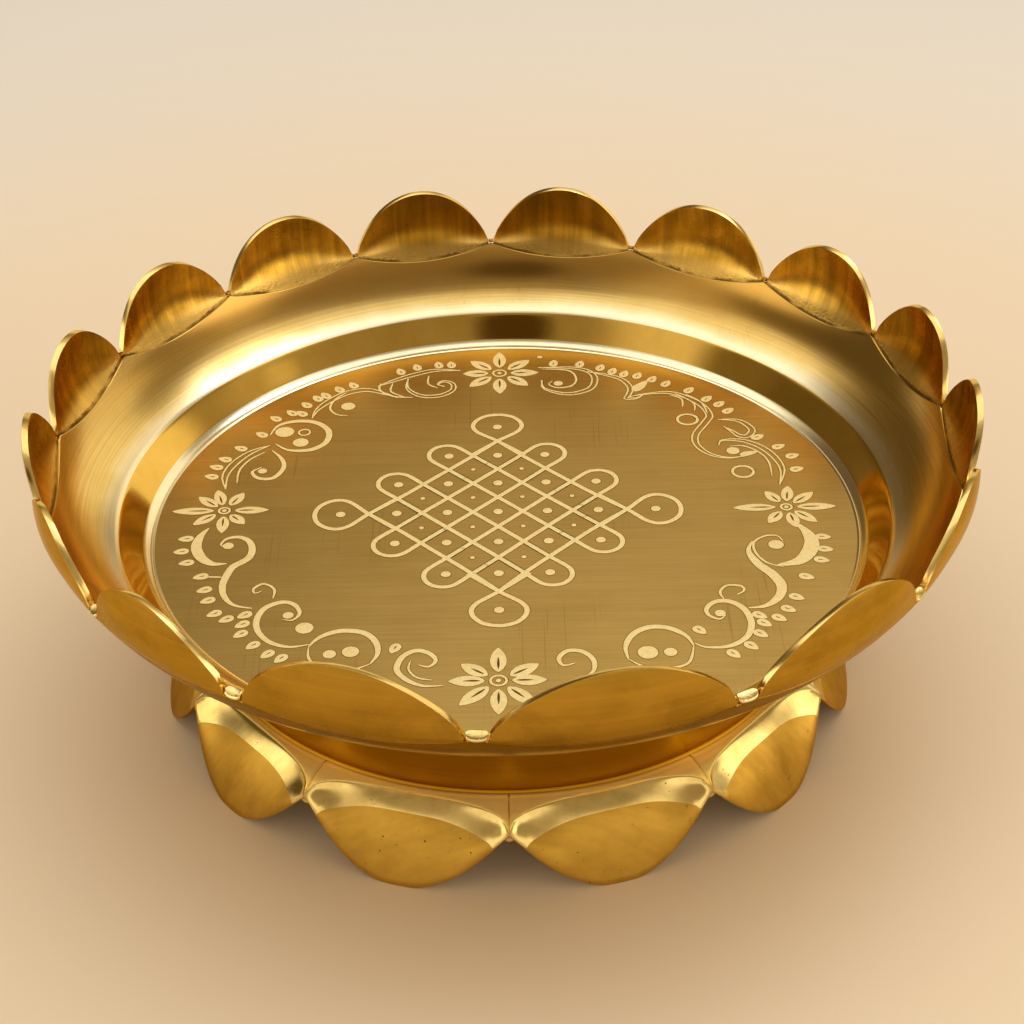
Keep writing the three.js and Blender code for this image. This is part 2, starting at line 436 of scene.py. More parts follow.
@dataclass(frozen=True)
class BrassFinish:
    """Brass in one state of polish, with its grain, patina, scratches and pits, and on some finishes painted
    shade and painted highlights.
    """

    name: str
    colour: Colour
    tarnish: Colour
    roughness: float
    roughness_spread: float
    grain: Grain
    grain_pitch: float
    grain_depth: float
    grain_shade: float = 0.08
    tarnish_size: float = 45
    tarnish_share: float = 0.5
    scratch_share: float = 0.3
    pit_share: float = 0.2
    # Strength of the painted shade line in a petal's root crease.
    crease: float = 0
    lacquer: float = 0
    metal: float = 1.0
    pit_level: float = 0.76
    # Painted shade: how dark the middle of the bowl's back is made.
    back_painted_shade: float = 0
    edge_tint: Colour = (1.0, 0.84, 0.50)
    # Painted shade towards the wall's edge, and a painted highlight near its foot.
    painted_shade_from: float = 0
    painted_shade_colour: Colour = (0.50, 0.28, 0.055)
    painted_highlight_colour: Colour = (0.99, 0.91, 0.68)
    painted_shade_behind: float = -10
    scored: float = 0
    painted_highlight_to: float = 128

    GRAIN_SLANT = 0.12
    STRAIGHT_STRETCH = (0.035, 1, 0.3)
    TURNED_DRIFT = 0.012
    UPRIGHT_RADIUS = 130.0
    UPRIGHT_STRETCH = 0.06
    COARSE_GRAIN = 0.22
    COARSE_SHARE = 0.25
    PATCHY = (0.38, 0.66)
    STREAKY = (0.3, 0.7)
    LIGHT_STREAK = 0.6
    # Where the painted shade at the bowl's back lies.
    BACK_SHIFT = 4.0
    BACK_HALF_WIDTH = (25, 70)
    BACK_SIDES = 0.1
    BACK_DEPTH = (70, 150)
    PIT_SCALE = 0.45
    PIT_EDGE = 0.04
    PIT_DARKNESS = 0.25
    PIT_ROUGHNESS = 0.3
    SCORE_DARKNESS = 0.4
    SCORE_DEPTH = 0.8
    SCORES = ((0.6, 0.018), (2.1, 0.025))
    SCORE_LEAN = (0.3, 0.2)
    SCORE_SPACING = (1.6, 0.4)
    SCORED_PATCH_SCALE = 0.022
    SCORE_LEVEL = (0.74, 0.765)
    SCORED_PATCH = (0.52, 0.64)
    LACQUER_ROUGHNESS = 0.08
    # Widths and strength of the wall's painted highlight and painted shade.
    UNEVEN = 6.0
    PAINTED_HIGHLIGHT_EDGE = 7
    PAINTED_SHADE_EDGE = 13
    PAINTED_SHADE_DEPTH = 120
    PAINTED_SHADE_FRONT = 0.25
    PAINTED_STRENGTH = 0.9
    # Colours of the painted glint above a petal's root and of the painted shade in its crease.
    GLINT_COLOUR = (1.0, 0.68, 0.20)
    CREASE_SHADE_COLOUR = (0.07, 0.035, 0.006)
    GRIT_SCALE = 0.9
    GRIT = 1.6
    BREAK_SCALE = 0.07
    BREAKS = (0.36, 0.56)
    LINE_LEAST = 0.15
    LINE_ROUGHNESS = 0.3
    GLINT = 0.5
    GRAIN_DEPTH = 0.9
    LINE_EDGE = (1.1, 1.7)
    GLINT_RISE = (1.0, 6.0)
    GRAIN_RISE = (1.0, 3.4)
    GRAIN_LEVEL = (0.42, 0.62)

    def coordinates(self, nodes: Nodes) -> tuple[Socket, Socket]:
        """Return the place in millimetres, and a vector along which the grain hardly changes.

        Args:
            nodes: The material's nodes.

        Returns:
            The two vectors.
        """
        scale = {0: nodes.place(), "Scale": 1 / METRES}
        place = nodes.node("VectorMath", scale, operation="SCALE").outputs[0]
        if self.grain is Grain.PLAIN:
            return place, place
        if self.grain is Grain.STRAIGHT:
            mapping = {"Vector": place, "Rotation": (0, 0, -self.GRAIN_SLANT), "Scale": self.STRAIGHT_STRETCH}
            return place, nodes.node("Mapping", mapping).outputs[0]
        x, y, z = nodes.parts(place)
        radius = nodes.radius(place)
        if self.grain is Grain.TURNED:
            ways = (nodes.plus(radius, nodes.times(x, self.TURNED_DRIFT)),
                    nodes.plus(z, nodes.times(y, self.TURNED_DRIFT)), 0.0)
        else:
            ways = (nodes.math("DIVIDE", nodes.times(x, self.UPRIGHT_RADIUS), radius),
                    nodes.math("DIVIDE", nodes.times(y, self.UPRIGHT_RADIUS), radius),
                    nodes.times(z, self.UPRIGHT_STRETCH))
        return place, nodes.node("CombineXYZ", dict(enumerate(ways))).outputs[0]

    def darker(self, share: float) -> tuple[float, ...]:
        """Return a share of the tarnish's colour."""
        return rgb(*(share * c for c in self.tarnish))

    def tarnish_and_back_shade(self, nodes: Nodes, place: Socket, along: Socket, cloud: Socket) -> Socket:
        """Return how much of the tarnish colour is mixed in: real tarnish in patches, and painted shade in
        the middle of the bowl's back.

        Args:
            nodes: The material's nodes.
            place: The place in millimetres.
            along: The vector along which the grain hardly changes.
            cloud: The tarnish's noise.

        Returns:
            The share of tarnish and painted shade.
        """
        coarse = nodes.noise(along, self.COARSE_GRAIN / self.grain_pitch, 2)
        mixed = nodes.plus(nodes.times(cloud, 1 - self.COARSE_SHARE), nodes.times(coarse, self.COARSE_SHARE))
        shade = nodes.times(nodes.remap(mixed, *self.PATCHY), self.tarnish_share)
        if not self.back_painted_shade:
            return shade
        # Painted shade, darkest in the middle of the bowl's back.
        x, y = nodes.parts(place)[:2]
        aside = nodes.math("ABSOLUTE", nodes.plus(x, self.BACK_SHIFT))
        middle = nodes.remap(aside, *self.BACK_HALF_WIDTH, 1, self.BACK_SIDES)
        behind = nodes.times(nodes.remap(y, *self.BACK_DEPTH, 0, self.back_painted_shade), middle)
        return nodes.math("MAXIMUM", shade, behind)

    def material(self) -> bpy.types.Material:
        """Return the finish as a material."""
        nodes = Nodes.of_material(self.name)
        place, along = self.coordinates(nodes)
        fine = nodes.noise(along, 1 / self.grain_pitch, 3, 0.6)
        cloud = nodes.noise(place, 1 / self.tarnish_size, 4, 0.6)
        scratches = self.scratches(nodes, place)
        pits = nodes.remap(nodes.noise(place, self.PIT_SCALE, 2, 0.8), self.pit_level,
                           self.pit_level + self.PIT_EDGE, 0, self.pit_share)
        # The tarnish colour is mixed in for real tarnish patches and for the painted shade at the bowl's
        # back.
        tarnish = self.tarnish_and_back_shade(nodes, place, along, cloud)
        colour = nodes.blend(tarnish, rgb(*self.colour), rgb(*self.tarnish))
        dark, light = 1 - self.grain_shade, 1 + self.LIGHT_STREAK * self.grain_shade
        streak = nodes.remap(fine, *self.STREAKY, dark, light)
        grey = nodes.node("CombineColor", {0: streak, 1: streak, 2: streak}).outputs[0]
        colour = nodes.blend(1.0, colour, grey, "MULTIPLY")
        colour = nodes.blend(pits, colour, self.darker(self.PIT_DARKNESS))
        if self.scored:
            scored = nodes.times(scratches, self.scored)
            colour = nodes.blend(scored, colour, self.darker(self.SCORE_DARKNESS))
        height = nodes.math("SUBTRACT", nodes.plus(fine, nodes.times(scratches, self.SCORE_DEPTH)), pits)
        spread = nodes.times(nodes.math("SUBTRACT", cloud, 0.5), 2 * self.roughness_spread)
        rough = nodes.plus(nodes.plus(self.roughness, spread), nodes.times(pits, self.PIT_ROUGHNESS))
        # Painted highlight near the wall's foot, painted shade towards its edge.
        if self.painted_shade_from:
            colour = self.painted_shade(nodes, place, cloud, colour)
        # Painted shade in the petals' root crease and a painted glint above it.
        if self.crease:
            colour, rough, height = self.creased(nodes, place, colour, rough, height)
        bump = nodes.node("Bump", {"Strength": 1.0, "Distance": self.grain_depth * METRES, "Height": height})
        values = {"Base Color": colour, "Roughness": rough, "Normal": bump.outputs[0],
                  "Metallic": self.metal, "Specular Tint": rgb(*self.edge_tint),
                  "Coat Weight": self.lacquer, "Coat Roughness": self.LACQUER_ROUGHNESS}
        for name, value in values.items():
            nodes.put(nodes.shader.inputs[name], value)
        return nodes.material

    def painted_shade(self, nodes: Nodes, place: Socket, cloud: Socket, colour: Socket) -> Socket:
        """Paint a highlight near the wall's foot as a paler colour, and paint shade towards its edge as a
        darker one, most of all at the back.

        Args:
            nodes: The material's nodes.
            place: The place in millimetres.
            cloud: The tarnish's noise, which makes the limits uneven.
            colour: The colour so far.

        Returns:
            The colour with both.
        """
        radius = nodes.plus(nodes.radius(place), nodes.times(cloud, self.UNEVEN))
        # Painted highlight: paler near the wall's foot.
        painted_highlight_end = self.painted_highlight_to + self.PAINTED_HIGHLIGHT_EDGE
        painted_highlight = nodes.remap(radius, self.painted_highlight_to, painted_highlight_end, self.PAINTED_STRENGTH, 0)
        colour = nodes.blend(painted_highlight, colour, rgb(*self.painted_highlight_colour))
        # Painted shade: darker towards the wall's edge, most at the back.
        painted_shade = nodes.remap(radius, self.painted_shade_from, self.painted_shade_from + self.PAINTED_SHADE_EDGE, 0, self.PAINTED_STRENGTH)
        y = nodes.parts(place)[1]
        deepest = self.painted_shade_behind + self.PAINTED_SHADE_DEPTH
        behind = nodes.remap(y, self.painted_shade_behind, deepest, self.PAINTED_SHADE_FRONT, 1)
        return nodes.blend(nodes.times(painted_shade, behind), colour, rgb(*self.painted_shade_colour))

    def scratches(self, nodes: Nodes, place: Socket) -> Socket:
        """Return fine straight scratches in two directions, in patches.

        Args:
            nodes: The material's nodes.
            place: The place in millimetres.

        Returns:
            The scratches' share on a scratch, and 0 off it.
        """
        total: object = 0.0
        for turn, stretch in self.SCORES:
            lean, tip = self.SCORE_LEAN
            aside, upward = self.SCORE_SPACING
            mapping = {"Vector": place, "Rotation": (lean * turn, tip, turn),
                       "Scale": (aside, stretch, upward)}
            across = nodes.noise(nodes.node("Mapping", mapping).outputs[0], 1.0, 0)
            scratch = nodes.remap(across, *self.SCORE_LEVEL, 0, self.scratch_share)
            total = nodes.math("MAXIMUM", total, scratch)
        patch = nodes.noise(place, self.SCORED_PATCH_SCALE, 1)
        return nodes.times(total, nodes.remap(patch, *self.SCORED_PATCH))

    def creased(self, nodes: Nodes, place: Socket, colour: Socket, rough: Socket,
                height: Socket) -> tuple[Socket, Socket, Socket]:
        """Paint shade into the crease along a petal's root as a dark, gritty, broken line, and a painted
        glint on the hammered grain just above it.

        Args:
            nodes: The material's nodes.
            place: The place in millimetres.
            colour: The colour so far.
            rough: The roughness so far.
            height: The bump height so far.

        Returns:
            Colour, roughness and height with the crease.
        """
        rise = nodes.attribute("rise")
        grit = nodes.noise(place, self.GRIT_SCALE, 3, 0.7)
        breaks = nodes.noise(place, self.BREAK_SCALE, 2)
        # The dark line: painted shade in the crease; its roughness and dip are real grit.
        broken = nodes.remap(breaks, *self.BREAKS, self.LINE_LEAST, self.crease)
        edge = nodes.remap(nodes.plus(rise, nodes.times(grit, self.GRIT)), *self.LINE_EDGE, 1, 0)
        line = nodes.times(edge, broken)
        # Painted highlight: a glint above the root and on the raised grain.
        glint = nodes.remap(rise, *self.GLINT_RISE, self.GLINT, 0)
        grain = nodes.times(nodes.remap(rise, *self.GRAIN_RISE, 1, 0), nodes.remap(grit, *self.GRAIN_LEVEL))
        bright = nodes.math("MAXIMUM", glint, nodes.times(grain, self.GLINT))
        colour = nodes.blend(bright, colour, rgb(*self.GLINT_COLOUR))
        colour = nodes.blend(line, colour, rgb(*self.CREASE_SHADE_COLOUR))
        rough = nodes.plus(rough, nodes.times(line, self.LINE_ROUGHNESS))
        raised = nodes.times(nodes.math("SUBTRACT", grain, line), self.GRAIN_DEPTH)
        height = nodes.plus(height, raised)
        return colour, rough, height


FLOOR_BRASS = BrassFinish("satin_floor_brass", colour=(0.68, 0.49, 0.18), tarnish=(0.52, 0.355, 0.105),
                          roughness=0.29, roughness_spread=0.05, grain=Grain.STRAIGHT, grain_pitch=1.1,
                          grain_depth=0.010, grain_shade=0.06, scored=0.9)
# The wall gets a painted highlight near its foot and painted shade from radius 131 outwards.
WALL_BRASS = BrassFinish("turned_wall_brass", colour=(0.84, 0.63, 0.24), tarnish=(0.70, 0.49, 0.14),
                         roughness=0.20, roughness_spread=0.05, grain=Grain.TURNED, grain_pitch=0.5,
                         grain_depth=0.010, grain_shade=0.15, painted_shade_from=131, scored=0.9)
BAND_BRASS = BrassFinish("polished_band_brass", colour=(0.84, 0.55, 0.13), tarnish=(0.66, 0.40, 0.06),
                         roughness=0.09, roughness_spread=0.03, grain=Grain.PLAIN, grain_pitch=6,
                         grain_depth=0.01, grain_shade=0.03)
# Near-white brass on the bead: a painted highlight standing in for its cream ring of reflections.
BEAD_HIGHLIGHT_BRASS = BrassFinish("pale_bead_painted_highlight", colour=(1.0, 0.93, 0.70), tarnish=(0.92, 0.80, 0.48),
                         roughness=0.16, roughness_spread=0.03, grain=Grain.PLAIN, grain_pitch=4,
                         grain_depth=0.01, grain_shade=0.03)
OUTSIDE_BRASS = BrassFinish("amber_outside_brass", colour=(0.50, 0.28, 0.032), tarnish=(0.30, 0.155, 0.013),
                            roughness=0.27, roughness_spread=0.05, grain=Grain.TURNED, grain_pitch=2.0,
                            grain_depth=0.02, tarnish_size=26, tarnish_share=0.8)
# A darker copy of the outside brass for the pan's downward faces: painted shade under the bowl.
UNDER_SHADE_BRASS = BrassFinish("painted_shade_under_brass", colour=(0.27, 0.14, 0.011), tarnish=(0.18, 0.09, 0.006),
                          roughness=0.25, roughness_spread=0.05, grain=Grain.TURNED, grain_pitch=2.0,
                          grain_depth=0.02, tarnish_size=26, tarnish_share=0.8)
NECK_BRASS = BrassFinish("polished_neck_brass", colour=(0.97, 0.80, 0.42), tarnish=(0.88, 0.68, 0.30),
                         roughness=0.15, roughness_spread=0.04, grain=Grain.TURNED, grain_pitch=2.0,
                         grain_depth=0.01)
CUP_BRASS = BrassFinish("amber_petal_brass", colour=(0.58, 0.335, 0.042), tarnish=(0.26, 0.125, 0.008),
                        roughness=0.27, roughness_spread=0.06, grain=Grain.UPRIGHT, grain_pitch=2.6,
                        # crease: painted shade along each petal's root, with a painted glint above it.
                        grain_depth=0.03, grain_shade=0.26, tarnish_size=16, tarnish_share=0.75, crease=0.85,
                        # Painted shade in the middle of the bowl's back.
                        back_painted_shade=0.95)
RIM_BRASS = BrassFinish("polished_rim_brass", colour=(0.92, 0.71, 0.28), tarnish=(0.78, 0.54, 0.15),
                        roughness=0.16, roughness_spread=0.05, grain=Grain.PLAIN, grain_pitch=4,
                        grain_depth=0.02)
# Darker than the outside brass, standing in for the shade under the pan: painted shade.
COLLAR_SHADE_BRASS = BrassFinish("shaded_collar_brass", colour=(0.40, 0.19, 0.010), tarnish=(0.30, 0.135, 0.006),
                           roughness=0.34, roughness_spread=0.04, grain=Grain.TURNED, grain_pitch=0.9,
                           grain_depth=0.015)
FOOT_BRASS = BrassFinish("polished_foot_brass", colour=(1.0, 0.85, 0.36), tarnish=(0.92, 0.72, 0.24),
                         roughness=0.16, roughness_spread=0.04, grain=Grain.PLAIN, grain_pitch=5,
                         grain_depth=0.008, grain_shade=0.03, lacquer=0.6, metal=0.6, pit_share=0.9,
                         pit_level=0.71)
ROLL_BRASS = BrassFinish("polished_roll_brass", colour=(0.82, 0.62, 0.23), tarnish=(0.56, 0.40, 0.12),
                         roughness=0.13, roughness_spread=0.04, grain=Grain.STRAIGHT, grain_pitch=3,
                         grain_depth=0.008, grain_shade=0.10, tarnish_size=14, tarnish_share=0.9,
                         pit_share=0.9, pit_level=0.72)
FACE_BRASS = BrassFinish("satin_foot_brass", colour=(0.52, 0.30, 0.045), tarnish=(0.34, 0.18, 0.02),
                         roughness=0.36, roughness_spread=0.05, grain=Grain.STRAIGHT, grain_pitch=1.6,
                         grain_depth=0.012, tarnish_size=24, tarnish_share=0.7, pit_share=0.9, pit_level=0.70)
BRAZE_BRASS = BrassFinish("pale_braze", colour=(0.92, 0.74, 0.34), tarnish=(0.80, 0.56, 0.20),
                          roughness=0.22, roughness_spread=0.05, grain=Grain.PLAIN, grain_pitch=1.4,
                          grain_depth=0.12)
CUT_BRASS = BrassFinish("graver_cut_brass", colour=(1.0, 0.83, 0.43), tarnish=(0.93, 0.72, 0.31),
                        roughness=0.45, roughness_spread=0.06, grain=Grain.PLAIN, grain_pitch=0.9,
                        grain_depth=0.03, tarnish_size=5, metal=0.45)
# The thin dark edge round each bright cut: painted shade.
EDGE_SHADE_BRASS = BrassFinish("graver_edge_painted_shade", colour=(0.42, 0.28, 0.07), tarnish=(0.30, 0.19, 0.04),
                         roughness=0.4, roughness_spread=0.05, grain=Grain.PLAIN, grain_pitch=0.9,
                         grain_depth=0.03, tarnish_size=5)
PIT_BRASS = BrassFinish("dark_graver_pit", colour=(0.20, 0.11, 0.02), tarnish=(0.12, 0.06, 0.01),
                        roughness=0.5, roughness_spread=0.05, grain=Grain.PLAIN, grain_pitch=0.9,
                        grain_depth=0.03, tarnish_size=5)
ENGRAVED = (CUT_BRASS, PIT_BRASS, EDGE_SHADE_BRASS)


class PanPart(Enum):
    """A part of the pan, which is also its finish's place among the pan's metals."""

    FLOOR = 0
    WALL = 1
    OUTSIDE = 2
    UNDERSIDE = 3
    STEP_BAND = 4
    BEAD = 5


@dataclass
class Pan:
    """The turned pan: engraved floor, bead, step band and scalloped wall."""

    facets_per_petal: int = 22
    wall_rows: int = 22
    band_rows: int = 4
    bead_rows: int = 16
    floor_rows: int = 10
    shoulder_round: float = 1.7
    lip_round: float = 0.5
    bead_end_slope: float = 25
    shoulder_rows: int = 6
    lip_share: float = 0.3
    groove: float = 0.14
    groove_place: float = 0.80
    groove_half_width: float = 0.08
    groove_way: Point = (0.42, -0.9)
    facing_down: float = -0.2
    under_margin: float = 0.1
    floor_margin: float = 0.2
    bead_margin: float = 0.35
    band_margin: float = 0.5
    crisp_above: float = 16
    polished_under: float = 131
    slack: float = 0.02

    def section(self) -> list[Vector]:
        """Return the pan's section with the wall at its full height."""
        cup = CUP
        under = cup.floor_height - cup.thickness
        slope = atan2(cup.step_rise, cup.step_width)
        under_step = cup.bead_top + section_point(cup.thickness * sin(slope), -cup.thickness * cos(slope))
        outer = [cup.point(lerp(cup.wall_start, cup.notch_slope, t), cup.thickness)
                 for t in shares(self.wall_rows)]
        near = self.lip_share * self.lip_round
        lip = [cup.point(cup.notch_slope, self.lip_round),
               cup.point(cup.notch_slope - cup.along_wall(near), near)]
        low = cup.wall_start + cup.along_wall(self.shoulder_round)
        high = cup.notch_slope - cup.along_wall(self.lip_round)
        inner = [cup.point(lerp(high, low, t), 0) for t in shares(self.wall_rows)[:-1]]
        before = cup.point(low, 0)
        turned = cup.step_top.lerp(cup.bead_top, self.shoulder_round / self.band_length)
        shoulder = [rounding(before, cup.step_top, turned, t) for t in shares(self.shoulder_rows)]
        band = [turned.lerp(cup.bead_top, t) for t in shares(self.band_rows)[1:-1]]
        bead = [self.bead_point(t) for t in shares(self.bead_rows)]
        floor = [section_point(cup.floor_radius * (1 - t), cup.floor_height)
                 for t in shares(self.floor_rows)[1:]]
        return [section_point(0, under), section_point(cup.floor_radius, under), under_step,
                *outer, *lip, *inner, *shoulder, *band, *bead, *floor]

    @property
    def band_length(self) -> float:
        """Return the length of the step band's section."""
        return (CUP.step_top - CUP.bead_top).length

    def part_of(self, face: bmesh.types.BMFace) -> PanPart:
        """Return the part of the pan that a face belongs to."""
        middle = face.calc_center_median()
        radius = sqrt(middle.x ** 2 + middle.y ** 2)
        if face.normal.z < self.facing_down or middle.z < CUP.floor_height - self.under_margin:
            return PanPart.UNDERSIDE if radius < self.polished_under else PanPart.OUTSIDE
        if radius < CUP.floor_radius - self.floor_margin:
            return PanPart.FLOOR
        if radius < CUP.bead_top.x - self.bead_margin:
            return PanPart.BEAD
        return PanPart.STEP_BAND if radius < CUP.step_top.x - self.band_margin else PanPart.WALL

    def bead_point(self, share: float) -> Vector:
        """Return a point of the bead, a cove from the step band to the floor with a fine groove in it."""
        edge = section_point(CUP.floor_radius, CUP.floor_height)
        fall, rise = CUP.step_rise / CUP.step_width, tan(radians(self.bead_end_slope))
        reach = (CUP.bead_rise - rise * CUP.bead_width) / (fall - rise)
        corner = CUP.bead_top - section_point(reach, reach * fall)
        deep = max(0.0, 1 - abs(share - self.groove_place) / self.groove_half_width)
        groove = section_point(*self.groove_way) * self.groove * deep
        return rounding(CUP.bead_top, corner, edge, share) + groove

    def scallop(self, bm: Mesh) -> None:
        """Set the wall out round the bowl and dip its edge under each petal.

        Args:
            bm: The spun pan.
        """
        start = radians(CUP.wall_start)
        centre = CUP.step_top + section_point(-CUP.wall_radius * sin(start), CUP.wall_radius * cos(start))
        for vert in bm.verts:
            turn = atan2(vert.co.y, vert.co.x) / (2 * pi) % 1
            section = section_point(sqrt(vert.co.x ** 2 + vert.co.y ** 2), vert.co.z)
            out = section - centre
            slope = degrees(atan2(out.x, -out.y))
            depth = out.length - CUP.wall_radius
            if slope > CUP.wall_start and -self.slack < depth < CUP.thickness + self.slack:
                share = (slope - CUP.wall_start) / (CUP.notch_slope - CUP.wall_start)
                edge = CUP.scallop(RIM.across(turn))
                section = CUP.point(lerp(CUP.wall_start, edge, share), depth)
            vert.co = polar(RIM.angle(turn), section)

    def build(self) -> None:
        """Build and dress the pan."""
        bm = spun(self.section(), RIM.petals * self.facets_per_petal)
        self.scallop(bm)
        bmesh.ops.recalc_face_normals(bm, faces=bm.faces)
        for face in bm.faces:
            face.material_index = self.part_of(face).value
        # Downward faces beyond polished_under take the darker copy of the outside brass: painted shade.
        finishes = (FLOOR_BRASS, WALL_BRASS, UNDER_SHADE_BRASS, NECK_BRASS, BAND_BRASS, BEAD_HIGHLIGHT_BRASS)
        metals = [finish.material() for finish in finishes]
        finished(bm, "turned_pan", metals, Slot.SATIN, ["pan"], radians(self.crisp_above))


class PetalFace(Enum):
    """A side of a rim petal, which is also its finish's place among the petals' metals."""

    INSIDE = 0
    EDGE = 1
    OUTSIDE = 2


@dataclass
class RimPetals:
    """The cupped petals brazed round the pan's edge, and the braze in the notches between them."""

    recess: float = 0.45
    end_height: float = 1.1
    side_curl: float = 1
    fullness: float = 0.75
    front_notch: float = 5.3
    back_notch: float = 1.9
    gap: float = 0.04
    dish: float = 0.9
    rim_thinning: float = 0.9
    filed: float = 0.15
    deepest: float = 0.40
    braze_rise: float = 1.8
    braze_stand_out: float = 0.9
    braze_hollow: float = 0.25
    braze_smoothing: int = 9
    braze_columns: int = 14
    braze_rows: int = 8
    opens_from: float = 0.25
    opens_over: float = 0.35
    marked_height: float = 20
    columns: int = 34
    rows: int = 22
    edge_round: float = 0.4

    def notch_width(self, index: int) -> float:
        """Return the width of a notch, which is open at the front and nearly closed at the back."""
        front = -sin(RIM.angle(index / RIM.petals))
        opened = min(1.0, max(0.0, (front - self.opens_from) / self.opens_over))
        return lerp(self.back_notch, self.front_notch, opened)

    def dishing(self, along: float) -> float:
        """Return how deep a petal is dished, from 0 at its root to 1, and back to 0 at its rim."""
        if along < self.deepest:
            return 1 - (1 - along / self.deepest) ** 2
        return (1 + cos(pi * (along - self.deepest) / (1 - self.deepest))) / 2

    def petal_place(self, index: int) -> Place:
        """Return the function that bends a block into a petal."""
        ends = [1 - (self.notch_width(k) + 2 * self.gap) / RIM_PITCH for k in (index, index + 1)]
        lowest = CUP.notch_slope + CUP.along_petal(self.end_height)

        def place(side: float, along: float, outside: float) -> Vector:
            """Return where a point of the block goes."""
            across = lerp(-ends[0], ends[1], (side + 1) / 2)
            root = CUP.scallop(across) + CUP.along_wall(self.gap)
            risen = max(0.0, 1 - side * side) ** self.fullness
            slope = lerp(root, lerp(lowest, CUP.tip_slope, risen), along)
            hollow = lerp(self.recess, self.rim_thinning, along) + self.dish * risen * self.dishing(along)
            section = CUP.point(slope, lerp(hollow, CUP.thickness - self.filed, outside))
            section.x -= self.side_curl * max(0.0, CUP.inside(slope).x - CUP.notch.x) * across * across
            return polar(RIM.angle((index + (across + 1) / 2) / RIM.petals), section)

        return place

    def petal(self, index: int) -> Mesh:
        """Return one petal as a bmesh, with each vertex's height above the root as an attribute."""
        bm = block(self.columns, self.rows)
        rise = bm.verts.layers.float.new("rise")
        for vert in bm.verts:
            width = max(0.0, 1 - vert.co.x ** 2) ** self.fullness
            vert[rise] = vert.co.y * (self.end_height + self.marked_height * width)
        for face in bm.faces:
            middle = face.calc_center_median().z
            side = PetalFace.INSIDE if middle < SAME_CORNER else PetalFace.EDGE
            if middle > 1 - SAME_CORNER:
                side = PetalFace.OUTSIDE
            face.material_index = side.value
        bend(bm, self.petal_place(index))
        round_edges(bm, self.edge_round, segments=3, above=50)
        return bm

    def braze_place(self, index: int) -> Place:
        """Return the function that bends a block into the braze of a notch."""
        def place(side: float, along: float, outside: float) -> Vector:
            """Return where a point of the block goes."""
            crown = 1 - side * side
            root = CUP.scallop(1) + CUP.along_petal(self.gap)
            slope = root + CUP.along_petal(along * self.braze_rise * (1 - self.braze_hollow * crown))
            bulge = self.braze_stand_out * crown * (1 - along)
            turn = (index + side * self.notch_width(index) / 2 / RIM_PITCH) / RIM.petals
            return polar(RIM.angle(turn), CUP.point(slope, outside * (CUP.thickness + bulge)))

        return place

    def build(self) -> None:
        """Build and dress the petals and their braze."""
        metals = [finish.material() for finish in (CUP_BRASS, RIM_BRASS, OUTSIDE_BRASS)]
        pale, amber = BRAZE_BRASS.material(), metals[PetalFace.OUTSIDE.value]
        for index in range(RIM.petals):
            number = f"{index + 1:02d}"
            finished(self.petal(index), f"cupped_rim_petal_{number}", metals, Slot.AMBER,
                     [f"rim_petal_{number}"])
            braze = block(self.braze_columns, self.braze_rows)
            bend(braze, self.braze_place(index))
            for _ in range(self.braze_smoothing):
                bmesh.ops.smooth_vert(braze, verts=braze.verts, factor=0.5,
                                      use_axis_x=True, use_axis_y=True, use_axis_z=True)
            metal = pale if self.notch_width(index) > self.back_notch + 1 else amber
            finished(braze, f"notch_braze_{number}", [metal], Slot.BRAZE, [f"rim_notch_braze_{number}"])


@dataclass
class Neck:
    """The tapered collar under the pan, and the fillet of braze round its foot."""

    inset: float = 7.7
    taper: float = 7.7
    thickness: float = 2.5
    fillet_size: float = 1.3
    shown_fillet: float = 0.8
    fillet_hollow: float = 0.62
    corner_round: float = 0.3
    shoulder_height: float = 25.9
    rows: int = 8
    facets: int = 288

    @property
    def top_radius(self) -> float:
        """Return the collar's radius under the pan."""
        return CUP.floor_radius - self.inset

    @property
    def foot_radius(self) -> float:
        """Return the collar's radius at the foot."""
        return self.top_radius - self.taper

    @property
    def bottom(self) -> float:
        """Return the height of the collar's lower edge."""
        return self.shoulder_height + SEAM

    @property
    def top(self) -> float:
        """Return the height of the collar's upper edge."""
        return CUP.floor_height - CUP.thickness - SEAM

    def radius_at(self, height: float) -> float:
        """Return the collar's outer radius at a height."""
        return lerp(self.foot_radius, self.top_radius, (height - self.bottom) / (self.top - self.bottom))

    def build(self) -> None:
        """Build and dress the collar and its fillet."""
        inner = [section_point(self.top_radius - self.thickness, self.top),
                 section_point(self.foot_radius - self.thickness, self.bottom)]
        heights = [lerp(self.bottom, self.top, t) for t in shares(self.rows)]
        outer = [section_point(self.radius_at(z), z) for z in heights]
        corners = (0, 1, 2, len(outer) + 1)
        path = filleted([*inner, *outer], dict.fromkeys(corners, self.corner_round), 2)
        amber = COLLAR_SHADE_BRASS.material()
        finished(spun(path, self.facets), "tapered_collar", [amber], Slot.AMBER, ["neck_collar"])
        low = section_point(self.radius_at(self.bottom), self.bottom - SEAM)
        reach = low + section_point(self.shown_fillet, 0)
        height = self.bottom + self.shown_fillet
        above = section_point(self.radius_at(height), height)
        hollow = low.lerp((reach + above) / 2, self.fillet_hollow)
        curve = [rounding(reach, hollow, above, t) for t in shares(4)]
        finished(spun([low, *curve], self.facets), "neck_fillet", [amber], Slot.BRAZE, ["neck_braze_ring"])


NECK = Neck()


class FootFace(Enum):
    """A part of a foot petal, which is also its finish's place among the foot's metals."""

    SHOULDER = 0
    SATIN = 1
    ROLL = 2


